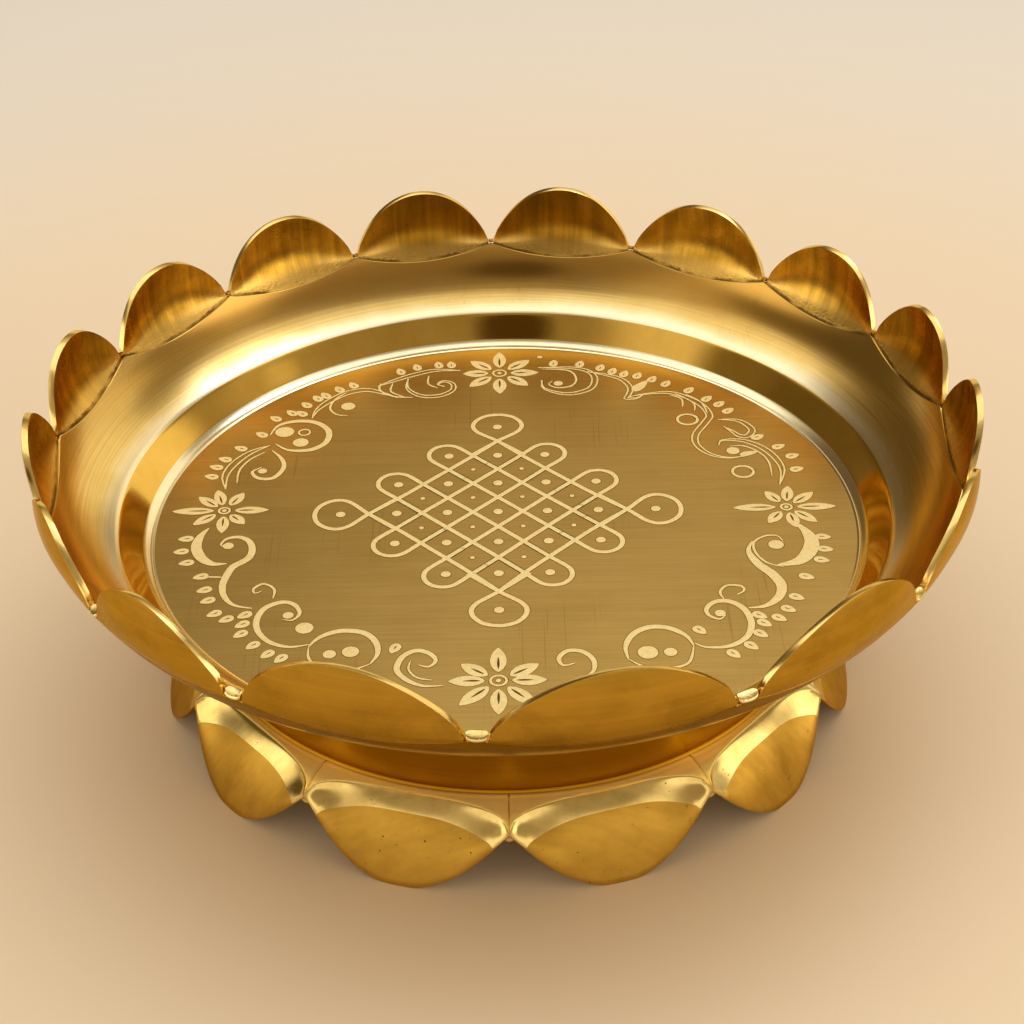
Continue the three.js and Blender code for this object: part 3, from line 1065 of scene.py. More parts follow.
@dataclass
class FootPetals:
    """The foot's sectors, each a shoulder that turns over a ridge into a petal, and their seams."""

    thickness: float = 2
    flange_width: float = 4
    shoulder_width: float = 10.3
    shoulder_drop: float = 4.3
    flare: float = 4.5
    shoulder_crown: float = 1.4
    ridge_place: float = 0.10
    ridge_squareness: float = 2.2
    roll_slope: float = 43
    face_slope: float = 68
    notch_roll_slope: float = 80
    notch_face_slope: float = 90
    face_pull: float = 0.33
    satin_from: float = 0.22
    satin_half_width: float = 0.86
    satin_squareness: float = 3
    satin_last: float = 0.94
    end_height: float = 2.2
    fullness: float = 1.1
    tip_flat: float = 0.5
    seam_width: float = 0.35
    seam_gap: float = 0.02
    seam_proud: float = -0.06
    seam_tilt: float = 37
    seam_round: float = 0.12
    seam_columns: int = 4
    drop_crown: float = 0.5
    crisp_above: float = 45
    drop_width: float = 2.4
    drop_length: float = 1.5
    fold: float = 0.6
    fold_share: float = 0.04
    fold_rows: int = 4
    columns: int = 56
    shoulder_rows: int = 6
    roll_rows: int = 8
    face_rows: int = 12
    edge_round: float = 0.35
    seam_rows: int = 8
    drop_rows: int = 8

    @property
    def start(self) -> Vector:
        """Return where the shoulder starts, at the fillet's edge."""
        return section_point(NECK.foot_radius + 2 * SEAM + NECK.fillet_size, NECK.shoulder_height)

    @property
    def notch(self) -> Vector:
        """Return the outer corner of the notches between the petals."""
        return self.start + section_point(self.shoulder_width, -self.shoulder_drop)

    @property
    def tip(self) -> Vector:
        """Return where the middle of a petal stands on the table."""
        return section_point(self.notch.x + self.flare, 0)

    @property
    def pitch(self) -> float:
        """Return the length from notch to notch."""
        return 2 * pi * self.notch.x / FOOT.petals

    def shoulder(self, place: float) -> Vector:
        """Return a point of the shoulder, 0 at the collar and 1 at the notches."""
        drop = place ** self.shoulder_crown
        return section_point(lerp(self.start.x, self.notch.x, place), lerp(self.start.y, self.notch.y, drop))

    def ridge(self, across: float) -> float:
        """Return how far out on the shoulder the ridge lies."""
        return lerp(1, self.ridge_place, sqrt(max(0.0, 1 - abs(across) ** self.ridge_squareness)))

    def face(self, across: float, along: float) -> Vector:
        """Return a point of a petal's face, from the ridge down to its edge."""
        top = self.shoulder(self.ridge(across))
        reach = max(0.0, 1 - across * across) ** self.fullness
        lowest = lerp(self.notch.y - self.end_height, -self.tip_flat, reach)
        end = section_point(lerp(self.notch.x, self.tip.x, reach), max(0.0, lowest))
        pull = self.face_pull * (end - top).length
        roll = radians(lerp(self.notch_roll_slope, self.roll_slope, reach))
        low = radians(lerp(self.notch_face_slope, self.face_slope, reach))
        one = top + section_point(cos(roll), -sin(roll)) * pull
        two = end - section_point(cos(low), -sin(low)) * pull
        three = one.lerp(two, along)
        return (top.lerp(one, along).lerp(three, along)).lerp(three.lerp(two.lerp(end, along), along), along)

    def satin(self, across: float) -> float:
        """Return how far down the face its satin part starts, below the polished roll."""
        inner = max(0.0, 1 - (abs(across) / self.satin_half_width) ** self.satin_squareness)
        return min(self.satin_last, lerp(1, self.satin_from, sqrt(inner)))

    def section(self, across: float) -> list[Vector]:
        """Return the outer section of a petal, from the flange to its lower edge."""
        flange = section_point(NECK.foot_radius - self.flange_width, NECK.shoulder_height)
        ridge, satin = self.ridge(across), self.satin(across)
        before = max(0.0, ridge - self.fold / self.shoulder_width)
        shoulder = [self.shoulder(before * t) for t in shares(self.shoulder_rows)[:-1]]
        start, corner, end = self.shoulder(before), self.shoulder(ridge), self.face(across, self.fold_share)
        turned = [rounding(start, corner, end, t) for t in shares(self.fold_rows)[:-1]]
        roll = [self.face(across, lerp(self.fold_share, satin, t)) for t in shares(self.roll_rows)[:-1]]
        face = [self.face(across, lerp(satin, 1, t)) for t in shares(self.face_rows)]
        return [flange, *shoulder, *turned, *roll, *face]

    def wall(self) -> list[Vector]:
        """Return the way from the outer face to the inner one at each row of the section."""
        slope = atan2(self.shoulder_drop, self.shoulder_width)
        mitre = (1 - sin(slope)) / cos(slope)
        ways = [section_point(0, -1)]
        over, mitred = section_point(-sin(slope), -cos(slope)), section_point(-1, -mitre)
        down = self.roll_rows + self.face_rows
        ways += [over] * self.shoulder_rows
        ways += [over.lerp(mitred, t) for t in shares(self.fold_rows)[:-1]]
        ways += [section_point(-1, -mitre * (1 - t)) for t in shares(down)]
        return [way * self.thickness for way in ways]

    def petal(self, index: int) -> Mesh:
        """Return one petal as a bmesh, with marks for its shoulder and face."""
        wall = self.wall()
        rows = len(wall) - 1
        end = 1 - (self.seam_width + 2 * self.seam_gap) / self.pitch
        bm = block(self.columns, rows)
        shoulder = 1 + self.shoulder_rows + self.fold_rows / 2
        satin = 1 + self.shoulder_rows + self.fold_rows + self.roll_rows
        for face in bm.faces:
            row = (1 - face.calc_center_median().y) * rows
            part = FootFace.ROLL if row < satin else FootFace.SATIN
            if row < shoulder:
                part = FootFace.SHOULDER
            face.material_index = part.value

        def place(side: float, along: float, outside: float) -> Vector:
            """Return where a point of the block goes."""
            row = round((1 - along) * rows)
            section = self.section(side)[row]
            if outside < 0.5:
                section = section + wall[row]
            return polar(FOOT.angle((index + (side * end + 1) / 2) / FOOT.petals), section)

        bend(bm, place)
        round_edges(bm, self.edge_round, segments=2, above=35)
        return bm

    def seam(self, index: int) -> Mesh:
        """Return the braze of one seam, which swells into a drop under the notch."""
        shoulder = [self.shoulder(t) for t in shares(self.seam_rows)]
        under = self.notch.y - self.end_height - SEAM
        drop = [section_point(self.notch.x, under - self.drop_length * t) for t in shares(self.drop_rows)]
        section = shoulder + drop
        rows = len(section) - 1
        tilt = radians(self.seam_tilt)
        depth = section_point(self.thickness * sin(tilt), self.thickness * cos(tilt))

        def place(side: float, along: float, outside: float) -> Vector:
            """Return where a point of the block goes."""
            row = round((1 - along) * rows)
            down = max(0, row - len(shoulder)) / self.drop_rows
            width = lerp(self.seam_width, self.drop_width, sin(pi * down))
            turn = (index + side * width / 2 / self.pitch) / FOOT.petals
            crown = self.seam_proud + self.drop_crown * (1 - side * side) * sin(pi * down)
            point = section[row] + section_point(0, crown) if outside > 0.5 else section[row] - depth
            return polar(FOOT.angle(turn), point)

        bm = block(self.seam_columns, rows)
        bend(bm, place)
        round_edges(bm, self.seam_round, segments=2, above=50)
        return bm

    def build(self) -> None:
        """Build and dress the petals and their seams."""
        metals = [finish.material() for finish in (FOOT_BRASS, FACE_BRASS, ROLL_BRASS)]
        pale = BRAZE_BRASS.material()
        for index in range(FOOT.petals):
            number = f"{index + 1:02d}"
            finished(self.petal(index), f"foot_sector_{number}", metals, Slot.POLISHED,
                     [f"foot_petal_{number}"], radians(self.crisp_above))
            finished(self.seam(index), f"foot_seam_{number}", [pale], Slot.BRAZE,
                     [f"foot_seam_braze_{number}"])


class Tone(Enum):
    """How a mark looks, which is also its place among the engraving's finishes."""

    BRIGHT = 0
    DARK = 1
    # The dark edge round a bright cut: painted shade.
    EDGE = 2


def smoothed(path: list[Point], closed: bool = False, step: float = 1.1) -> list[Vector]:
    """Draw a smooth curve through points.

    Args:
        path: The points.
        closed: Whether the last point leads back to the first.
        step: Length from one point of the curve to the next.

    Returns:
        The points of the curve, which for a closed one run on a little past the start.
    """
    points = [Vector(p) for p in path]
    last = len(points) if closed else len(points) - 1
    curve: list[Vector] = []

    def at(k: int) -> Vector:
        """Return a point by its number, held at the ends of an open curve."""
        return points[k % len(points)] if closed else points[min(max(k, 0), len(points) - 1)]

    for i in range(last):
        before, start, end, after = at(i - 1), at(i), at(i + 1), at(i + 2)
        pieces = max(1, round((end - start).length / step))
        for k in range(pieces):
            t = k / pieces
            bow = (start * 2 + (end - before) * t + (before * 2 - start * 5 + end * 4 - after) * t ** 2
                   + (start * 3 - before - end * 3 + after) * t ** 3)
            curve.append(bow / 2)
    return curve + (curve[:2] if closed else [points[-1]])


def around(centre: Point, radius: float, start: float = 0, end: float = 360, points: int = 14) -> list[Point]:
    """Return points of an arc, its angles in degrees."""
    turns = [radians(lerp(start, end, i / (points - 1))) for i in range(points)]
    return [(centre[0] + radius * cos(a), centre[1] + radius * sin(a)) for a in turns]


@dataclass(frozen=True)
class Line:
    """A line cut with the graver, which may swell in the middle."""

    path: tuple[Point, ...] | list[Point]
    width: float = 1.0
    swell: float = 0.0
    closed: bool = False
    tapered: bool = True
    hollow: bool = False
    tone: Tone = Tone.BRIGHT


@dataclass(frozen=True)
class Leaf:
    """A leaf or drop cut with the graver, pointed at its tip."""

    base: Point
    tip: Point
    width: float
    sharp: float = 0.5
    sharp_base: float = 0.0
    tone: Tone = Tone.BRIGHT


@dataclass(frozen=True)
class Dot:
    """A round cut."""

    centre: Point
    radius: float = 1.6
    tone: Tone = Tone.BRIGHT


Mark = Line | Leaf | Dot


def circle(centre: Point, radius: float, width: float) -> Line:
    """Return a closed ring."""
    return Line(around(centre, radius, 0, 330), width, closed=True)


@dataclass
class Engraver:
    """Cuts lines, leaves and dots into one mesh on the pan's floor."""

    bright_rise: float = 0.07
    dark_rise: float = 0.12
    edge_rise: float = 0.035
    crown: float = 0.05
    root: float = 0.12
    line_edge: float = 0.6
    # Width of the painted shade edge round a bright cut.
    dark_edge: float = 0.32
    end_width: float = 0.35
    taper: float = 3
    tip_fullness: float = 0.6
    base_fullness: float = 0.8
    crisp_above: float = 60
    bm: Mesh = field(default_factory=bmesh.new)

    def height(self, tone: Tone, middle: float, under: bool) -> float:
        """Return a vertex's height, from how near it is to the middle of the cut."""
        if under:
            return CUP.floor_height - self.root
        if tone is Tone.EDGE:
            return CUP.floor_height + self.edge_rise
        rise = self.bright_rise if tone is Tone.BRIGHT else self.dark_rise
        return CUP.floor_height + (rise + self.crown * middle)

    def margin(self, tone: Tone) -> float:
        """Return how far a mark of a tone reaches past the mark itself."""
        return self.dark_edge if tone is Tone.EDGE else 0

    def thicken(self, verts: list[bmesh.types.BMVert], tone: Tone) -> list[bmesh.types.BMVert]:
        """Give a flat shape an underside one unit below it, and its finish.

        Args:
            verts: The flat shape's vertices.
            tone: How the shape looks.

        Returns:
            All the vertices of the closed shape.
        """
        faces = list({face for vert in verts for face in vert.link_faces})
        made = bmesh.ops.extrude_face_region(self.bm, geom=faces, use_keep_orig=True)["geom"]
        under = [item for item in made if isinstance(item, bmesh.types.BMVert)]
        bmesh.ops.translate(self.bm, vec=(0, 0, -1), verts=under)
        for face in {face for vert in verts + under for face in vert.link_faces}:
            face.material_index = tone.value
        return verts + under

    def line(self, line: Line) -> None:
        """Cut one line, or the two edges of a hollow one."""
        for edge in ((-1, 1) if line.hollow else (0,)):
            self.strip(line, edge)

    def strip(self, line: Line, edge: int) -> None:
        """Cut a line, or one edge of it.

        Args:
            line: The line.
            edge: 0 for the whole line, and -1 or 1 for its right or left edge.
        """
        curve = smoothed(list(line.path), line.closed)
        last = len(curve) - 1
        grid = bmesh.ops.create_grid(self.bm, x_segments=2, y_segments=last, size=0.5)["verts"]
        line_half, margin = self.line_edge / 2, self.margin(line.tone)
        for vert in self.thicken(grid, line.tone):
            i = round((vert.co.y + 0.5) * last)
            way = (curve[min(i + 1, last)] - curve[max(i - 1, 0)]).normalized()
            ends = min(1.0, self.end_width + self.taper * min(i, last - i) / last)
            if line.closed or not line.tapered:
                ends = 1
            half = (line.width * ends + line.swell * sin(pi * i / last)) / 2
            side = 2 * vert.co.x
            aside = edge * (half - line_half) + side * ((line_half if edge else half) + margin)
            spot = curve[i] + Vector((-way.y, way.x)) * aside
            vert.co = (spot.x, spot.y, self.height(line.tone, 1 - abs(side), vert.co.z < -0.5))

    def leaf(self, leaf: Leaf, segments: int = 16) -> None:
        """Cut one leaf."""
        made = bmesh.ops.create_circle(self.bm, cap_ends=True, cap_tris=True, segments=segments, radius=1)
        disc = made["verts"]
        base, tip = Vector(leaf.base), Vector(leaf.tip)
        margin = self.margin(leaf.tone)
        beyond = (tip - base).normalized() * margin
        base, tip = base - beyond, tip + beyond
        reach = (tip - base) / 2
        fuller = 1 + self.tip_fullness * leaf.sharp + self.base_fullness * leaf.sharp_base
        aside = Vector((-reach.y, reach.x)).normalized() * (leaf.width * fuller / 2 + margin)
        for vert in self.thicken(disc, leaf.tone):
            along, middle = vert.co.x, 1 - sqrt(vert.co.x ** 2 + vert.co.y ** 2)
            narrow = max(0.0, (1 - along) / 2) ** leaf.sharp * max(0.0, (1 + along) / 2) ** leaf.sharp_base
            spot = base + reach * (1 + along) + aside * vert.co.y * narrow
            vert.co = (spot.x, spot.y, self.height(leaf.tone, max(0.0, middle), vert.co.z < -0.5))

    def dot(self, dot: Dot) -> None:
        """Cut one dot."""
        x, y = dot.centre
        self.leaf(Leaf((x - dot.radius, y), (x + dot.radius, y), 2 * dot.radius, 0, 0, dot.tone), 18)

    def cut(self, marks: Iterable[Mark]) -> None:
        """Cut several marks, each bright one inside a thin dark edge of painted shade."""
        for mark in [m for mark in marks for m in self.edged(mark)]:
            if isinstance(mark, Line):
                self.line(mark)
            elif isinstance(mark, Leaf):
                self.leaf(mark)
            else:
                self.dot(mark)

    @staticmethod
    def edged(mark: Mark) -> list[Mark]:
        """Return a mark after its dark edge of painted shade, if it has one."""
        return [replace(mark, tone=Tone.EDGE), mark] if mark.tone is Tone.BRIGHT else [mark]

    def finish(self, name: str) -> None:
        """Turn the cuts into a finished piece."""
        metals = [brass.material() for brass in ENGRAVED]
        finished(self.bm, name, metals, Slot.BRAZE, sharp=radians(self.crisp_above))


@dataclass
class Kolam:
    """The looped line drawing round a diamond of dots in the middle of the floor."""

    columns: tuple[float, ...] = (-54.6, -36.0, -19.2, -2.4, 13.9, 30.8, 49.8)
    rows: tuple[float, ...] = (-51.2, -31.6, -13.9, 3.7, 21.2, 38.8, 57.7)
    dot_radius: float = 1.6
    small_dot_radius: float = 0.8
    line_width: float = 1.6
    side_loop: float = 6.2
    side_stretch: float = 1.1
    teardrop: tuple[Point, ...] = ((0, 0), (3.6, 3.1), (7.0, 6.2), (8.6, 9.6), (7.8, 13.4), (4.7, 16.7),
                                   (0, 17.9))
    line_ends: tuple[float, ...] = (-2.5, -1.3, 0, 1.3, 2.5)

    def spot(self, i: float, j: float) -> Point:
        """Return the place of a point of the dots' grid, from -3 to 3 both ways."""
        def along(values: tuple[float, ...], place: float) -> float:
            """Return the value at a place between the grid's seven."""
            k = min(max(int(place + 3), 0), 5)
            return lerp(values[k], values[k + 1], place + 3 - k)
        return along(self.columns, i), along(self.rows, j)

    def dots(self) -> list[Dot]:
        """Return the dots, and the small ones between them."""
        whole = [(i, j) for i in range(-3, 4) for j in range(-3, 4) if abs(i) + abs(j) <= 3]
        between = (-1.5, -0.5, 0.5, 1.5)
        half = [(i, j) for i in between for j in between if abs(i) + abs(j) <= 2]
        return ([Dot(self.spot(*p), self.dot_radius) for p in whole]
                + [Dot(self.spot(*p), self.small_dot_radius) for p in half])

    def lines(self) -> list[Line]:
        """Return the crossing lines and the loops round the outer dots."""
        strokes: list[Line] = []
        for offset in (-2.5, -1.5, -0.5, 0.5, 1.5, 2.5):
            for flip in (1, -1):
                ends = [((s + offset) / 2, flip * (s - offset) / 2) for s in self.line_ends]
                strokes.append(self.stroke([self.spot(*p) for p in ends]))
        for i, j in ((1, 2), (2, 1), (2, -1), (1, -2), (-1, -2), (-2, -1), (-2, 1), (-1, 2)):
            right, up = (1 if i > 0 else -1), (1 if j > 0 else -1)
            outward = degrees(atan2(up, right))
            x, y = self.spot(i, j)
            stretched = (x + right * self.side_stretch * sqrt(0.5), y + up * self.side_stretch * sqrt(0.5))
            loop = around(stretched, self.side_loop, outward - 90, outward + 90, 7)
            sides = [self.spot(i - 0.5 * right, j), self.spot(i, j - 0.5 * up)]
            roots = [self.spot(i - right, j - 0.5 * up), self.spot(i - 0.5 * right, j - up)]
            order = 1 if right * up < 0 else -1
            start, end = sides[::order]
            below, above = roots[::order]
            strokes.append(self.stroke([below, start, *loop, end, above]))
        for i, j in ((3, 0), (0, 3), (-3, 0), (0, -3)):
            crossing = Vector(self.spot(i * 2.5 / 3, j * 2.5 / 3))
            way = (Vector(self.spot(i, j)) - crossing).normalized()
            aside = Vector((-way.y, way.x))
            outline = [*self.teardrop, *((-side, ahead) for side, ahead in reversed(self.teardrop[:-1]))]
            inner = Vector(self.spot(i * 2 / 3, j * 2 / 3)) - crossing
            tails = [crossing + inner - side * aside * inner.length for side in (1, -1)]
            loop = [crossing + aside * side + way * ahead for side, ahead in outline]
            strokes.append(self.stroke([tuple(p) for p in (tails[0], *loop, tails[1])]))
        return strokes

    def stroke(self, path: list[Point]) -> Line:
        """Return a line of the drawing, as wide at its ends as in the middle."""
        return Line(path, self.line_width, tapered=False)

    def build(self) -> None:
        """Build and dress the drawing."""
        graver = Engraver()
        graver.cut([*self.lines(), *self.dots()])
        graver.finish("floor_kolam")


def flower(centre: Point, tips: Iterable[Point], width: float, ring: float) -> list[Mark]:
    """Return a flower of pointed petals round a small ring."""
    middle = Vector(centre)
    marks: list[Mark] = [circle(centre, ring, 0.8), Dot(centre, 0.8)]
    for tip in tips:
        way = (Vector(tip) - middle).normalized()
        start = middle + way * (ring + 1.6)
        marks.append(Leaf(tuple(start), tip, width, 0.38, 0.25))
        vein = [tuple(start.lerp(Vector(tip), share)) for share in (0.12, 0.62)]
        marks.append(Leaf(*vein, width * 0.16, 0.5, 0.3, Tone.DARK))
    return marks


def drops(places: Iterable[Point], length: float = 5.2, width: float = 3.5) -> list[Leaf]:
    """Return the border's outer drops, each pointing away from the middle of the floor."""
    leaves = []
    for x, y in places:
        way = Vector((x, y)).normalized() * length / 2
        leaves.append(Leaf((x - way.x, y - way.y), (x + way.x, y + way.y), width, 0.28))
        vein = (x - way.x / 2, y - way.y / 2), (x + way.x / 4, y + way.y / 4)
        leaves.append(Leaf(*vein, 0.4, tone=Tone.DARK))
    return leaves


@dataclass
class FloralBorder:
    """The border of flowers, scrolls and drops round the floor."""

    def flowers(self) -> list[Mark]:
        """Return the four flowers."""
        back = flower((-1.4, 96), ((-1.4, 111.8), (9.8, 105.5), (13, 96), (9, 86.5), (-1.4, 81),
                                   (-12.5, 86.5), (-15, 96), (-12.2, 105.5)), 5.5, 2.4)
        front = flower((-2.8, -86.2), ((-2.8, -70.3), (9.3, -78.5), (11.6, -86.2), (8, -98), (-2.8, -102),
                                       (-14.3, -97.5), (-17.7, -86.2), (-14, -78)), 5.5, 2.4)
        left = flower((-93.5, 7.3), ((-111, 7.3), (-103, 16), (-97, 20), (-88, 18), (-78.7, 7.3), (-86, -1),
                                     (-93, -6), (-103, -1)), 4.6, 1.8)
        right = flower((93, 3.3), ((109.5, 3.3), (103, 12), (95, 16), (87, 13), (75.3, 3.3), (86, -6),
                                   (95, -9), (102, -6)), 4.6, 1.8)
        return [*back, *front, *left, *right]

    def north_east(self) -> list[Mark]:
        """Return the scrolls at the back right."""
        return [
            Line([(14, 90), (15, 84), (23, 80), (31, 83), (33.5, 90), (31.5, 96), (25, 99), (13, 99.5)],
                 0.9, 1.7, hollow=True),
            Line([(14, 98.5), (24, 97), (26.7, 91), (25, 86), (20, 84.5), (16.5, 87), (18, 89.5)], 0.8),
            Dot((20, 87.7), 1.7),
            Line([(31, 96), (42, 91), (46, 84), (45, 78), (44, 76), (48, 76), (51, 79)],
                 0.9, 1.5, hollow=True),
            Leaf((47, 81), (53, 89), 4),
            Line([(45, 77), (52, 79), (60, 79.5), (66, 76), (71, 70), (73, 63), (71, 58), (67, 50), (67, 43),
                  (71, 37), (77, 34.5), (83, 35.5)], 1.0, 1.9, hollow=True),
            Line([(60, 78), (64, 75), (64, 69)], 0.7), Line([(62, 79), (68, 72), (68, 66)], 0.7),
            Line([(66, 78), (71, 72), (72.5, 64)], 0.7),
            circle((65, 60.5), 3.6, 1.0),
            Line([(76, 60), (83, 59), (87, 53), (85, 48.5), (82, 49), (80, 52), (77.5, 55)],
                 1.0, 1.7, hollow=True),
            Dot((79, 39), 2.3), Leaf((81, 36), (88, 38.5), 2.8),
            Line([(74.5, 43), (76, 46), (83, 45.5), (89, 41), (93, 34), (94.5, 26), (92.5, 17)],
                 1.0, 1.7, hollow=True),
            Line([(78, 42), (83, 42), (88, 37.5), (90.5, 31), (90.5, 22)], 0.7),
            circle((81, 25.5), 3.6, 1.0),
            *drops(((18.7, 102.7), (28.5, 101.8), (36, 98.8), (40.3, 96), (44.5, 93.8), (49.3, 92.3),
                    (54.5, 89.5), (59.3, 86), (67.3, 81), (73.2, 74.7), (77.3, 70.8), (80, 66),
                    (88.5, 47.8), (95, 41.2), (99, 35), (99.5, 26.5))),
            Dot((13.7, 107.5), 1.0),
        ]

    def north_west(self) -> list[Mark]:
        """Return the scrolls at the back left."""
        return [
            Line([(-16, 98.5), (-25, 99), (-33, 96), (-40, 92), (-46, 88)], 0.9, 1.7, hollow=True),
            Line([(-35, 93), (-35, 86), (-30, 80.5), (-23, 80.5), (-18.5, 84.5), (-18.8, 89), (-22, 90.8),
                  (-24, 88.5), (-21.5, 87)], 0.9, 1.5, hollow=True),
            Line([(-27.5, 95), (-27.5, 89), (-24, 86)], 0.7),
            Line([(-45, 90), (-45, 85), (-40, 80.5), (-33, 79.5)], 0.9),
            Line([(-40.5, 90), (-41, 84), (-36, 80)], 0.7),
            Line([(-38.5, 79.5), (-44, 83), (-50, 85.5), (-57, 83.5), (-63, 78), (-67, 72), (-68.5, 66)],
                 1.0, 2.1, hollow=True),
            Line([(-57, 84), (-61, 79), (-62.5, 73), (-60, 68.5), (-56, 67.5)], 0.8),
            Dot((-56, 74), 2.6),
            Line([(-82.5, 55), (-80, 61.5), (-73.5, 64.3), (-66.5, 62.8), (-62, 57), (-62.5, 49.5),
                  (-67.5, 44.8), (-75, 44.8), (-80, 49)], 1.2, 1.0),
            Dot((-77.5, 57), 3.4), Dot((-71.3, 49.7), 2.8), circle((-70.5, 56.5), 2.0, 0.7),
            Line([(-82, 48), (-88, 44), (-93, 37), (-95.5, 29), (-94.5, 20.5)], 1.0, 2.1, hollow=True),
            Line([(-83, 44), (-88, 39), (-91, 32), (-91, 24)], 0.7),
            Line([(-81, 45), (-77, 39), (-76, 33), (-79, 27), (-84, 27), (-86.5, 31), (-83.5, 34)], 0.9, 0.8),
            Dot((-83, 31.5), 1.6),
            *drops(((-24, 103), (-19.3, 103), (-32, 101.5), (-38, 98.5), (-55, 89), (-60, 86.2), (-64.7, 82),
                    (-67.5, 80), (-71.2, 75.5), (-76, 70), (-72.4, 69.5), (-81.5, 66.3), (-85.5, 55.5),
                    (-92, 46.5), (-96.7, 39.5), (-99.2, 34.5), (-100.2, 28.5))),
        ]

    def south_west(self) -> list[Mark]:
        """Return the scrolls at the front left."""
        return [
            Line([(-97.5, -3), (-99.8, -8), (-100.3, -14), (-98, -20), (-94, -23.5), (-89.5, -23.5)],
                 1.2, 2.4),
            Line([(-90.5, -14), (-92.5, -13), (-91, -9.5), (-87, -8.5), (-83.5, -11), (-82, -16), (-83, -21),
                  (-87, -25), (-88.5, -29), (-89.5, -35), (-88.5, -41), (-85, -46), (-79, -48)], 1.1, 1.4),
            Dot((-90, -13.5), 1.8),
            Line([(-73, -43), (-73, -38), (-76.5, -35), (-79.5, -37.5), (-79, -40), (-77, -39)], 0.9),
            Dot((-67.5, -52), 1.7),
            Line([(-69, -54), (-66, -54.5), (-64, -51), (-66, -46.5), (-70, -45), (-75, -48), (-77, -54),
                  (-76, -60), (-72, -65.5), (-66, -68), (-60, -67)], 1.0, 1.0),
            Line([(-60, -68), (-57, -63.5), (-51, -60.5), (-44, -61.5), (-40, -66), (-39, -72), (-41, -77)],
                 1.3, 0.8),
            Line([(-41, -77), (-47, -80), (-55, -79), (-59.5, -74), (-60, -68)], 0.9),
            Dot((-47.2, -71), 2.6), Dot((-53.5, -72), 2.0), Dot((-62, -58.7), 2.8),
            Line([(-26.5, -78), (-23.5, -79), (-21.5, -76), (-23.5, -72.5), (-27.5, -71), (-31.5, -74),
                  (-33, -80), (-30, -85), (-25, -88), (-19, -88)], 1.1, 0.8),
            Line([(-29, -76), (-29.5, -80), (-27, -84), (-22, -85.5)], 0.7),
            Line([(-97, -30.5), (-90, -31)], 0.8),
            *drops(((-104.3, -9), (-105, -16.3), (-102.5, -22.7), (-97, -30.5), (-95, -37.8), (-93.3, -43.5),
                    (-90.5, -50.5), (-86.5, -53.5), (-81, -51.5), (-81.3, -56.3), (-81.3, -61.2), (-77, -67),
                    (-72.2, -71.5), (-68, -73.7), (-34, -69.8))),
        ]

    def south_east(self) -> list[Mark]:
        """Return the scrolls at the front right."""
        return [
            Line([(94.7, -6), (97.5, -11), (98.7, -17), (97, -23), (93, -28), (86, -30)], 1.4, 3.6),
            Line([(89.5, -17), (88, -13.5), (84, -13.5), (80, -17), (80, -23), (83, -28.5), (88, -31)], 0.8),
            Dot((87, -18.5), 2.5),
            Line([(79.5, -16.5), (77.8, -22), (80, -29), (84, -35), (86, -41), (84.5, -47), (80, -51.5),
                  (74.5, -52.5)], 1.2, 2.2),
            Line([(67.5, -48), (66.5, -44), (69, -40.5), (73.5, -41), (74, -43.5), (71.5, -45.5)], 0.9),
            Line([(67, -56), (65, -58), (62, -56), (61.5, -52.5), (64.5, -49), (69, -49), (73, -53),
                  (74.5, -60), (72.5, -67), (67, -71.5), (60, -72), (56.5, -70)], 1.1, 1.0),
            Dot((65.5, -55), 1.7),
            Line([(56, -71), (54, -66), (49, -62), (43, -61.5), (38, -65), (35.5, -71), (36, -77)], 1.3, 0.8),
            Line([(36, -77), (41, -81), (49, -81.5), (54, -79), (56, -71)], 0.9),
            Dot((42, -74), 3.1), Dot((48.8, -74), 2.0),
            Line([(20, -78.5), (16.5, -79.5), (15.3, -76), (18, -72.5), (22.5, -73), (25.5, -77), (25.5, -82),
                  (23, -85)], 1.1, 0.6),
            *drops(((102.7, -14.5), (102.5, -21.5), (100.5, -27.5), (94.5, -36.5), (90, -47.3), (86.7, -53.5),
                    (83.3, -58), (78.5, -60.5), (77.5, -56.5), (76.8, -65.8), (73.3, -71.7), (67.6, -75.5),
                    (58.5, -63.5))),
        ]

    def build(self) -> None:
        """Build and dress the border."""
        graver = Engraver()
        graver.cut([*self.flowers(), *self.north_east(), *self.north_west(), *self.south_west(),
                    *self.south_east()])
        graver.finish("floor_border")


@dataclass(frozen=True)
class Softbox:
    """An oval soft light that faces straight down or towards a point, in metres."""

    name: str
    place: tuple[float, float, float]
    size: tuple[float, float]
    radiance: float
    aim: tuple[float, float, float] = (0, 0, 0.06)
    mirrored: bool = True


@dataclass(frozen=True)
class RoomSpot:
    """A soft-edged part of the room round one direction, with its cosines at the core and the edge."""

    way: tuple[float, float, float]
    core: float
    edge: float
    colour: Colour


Stops = tuple[tuple[float, Colour], ...]


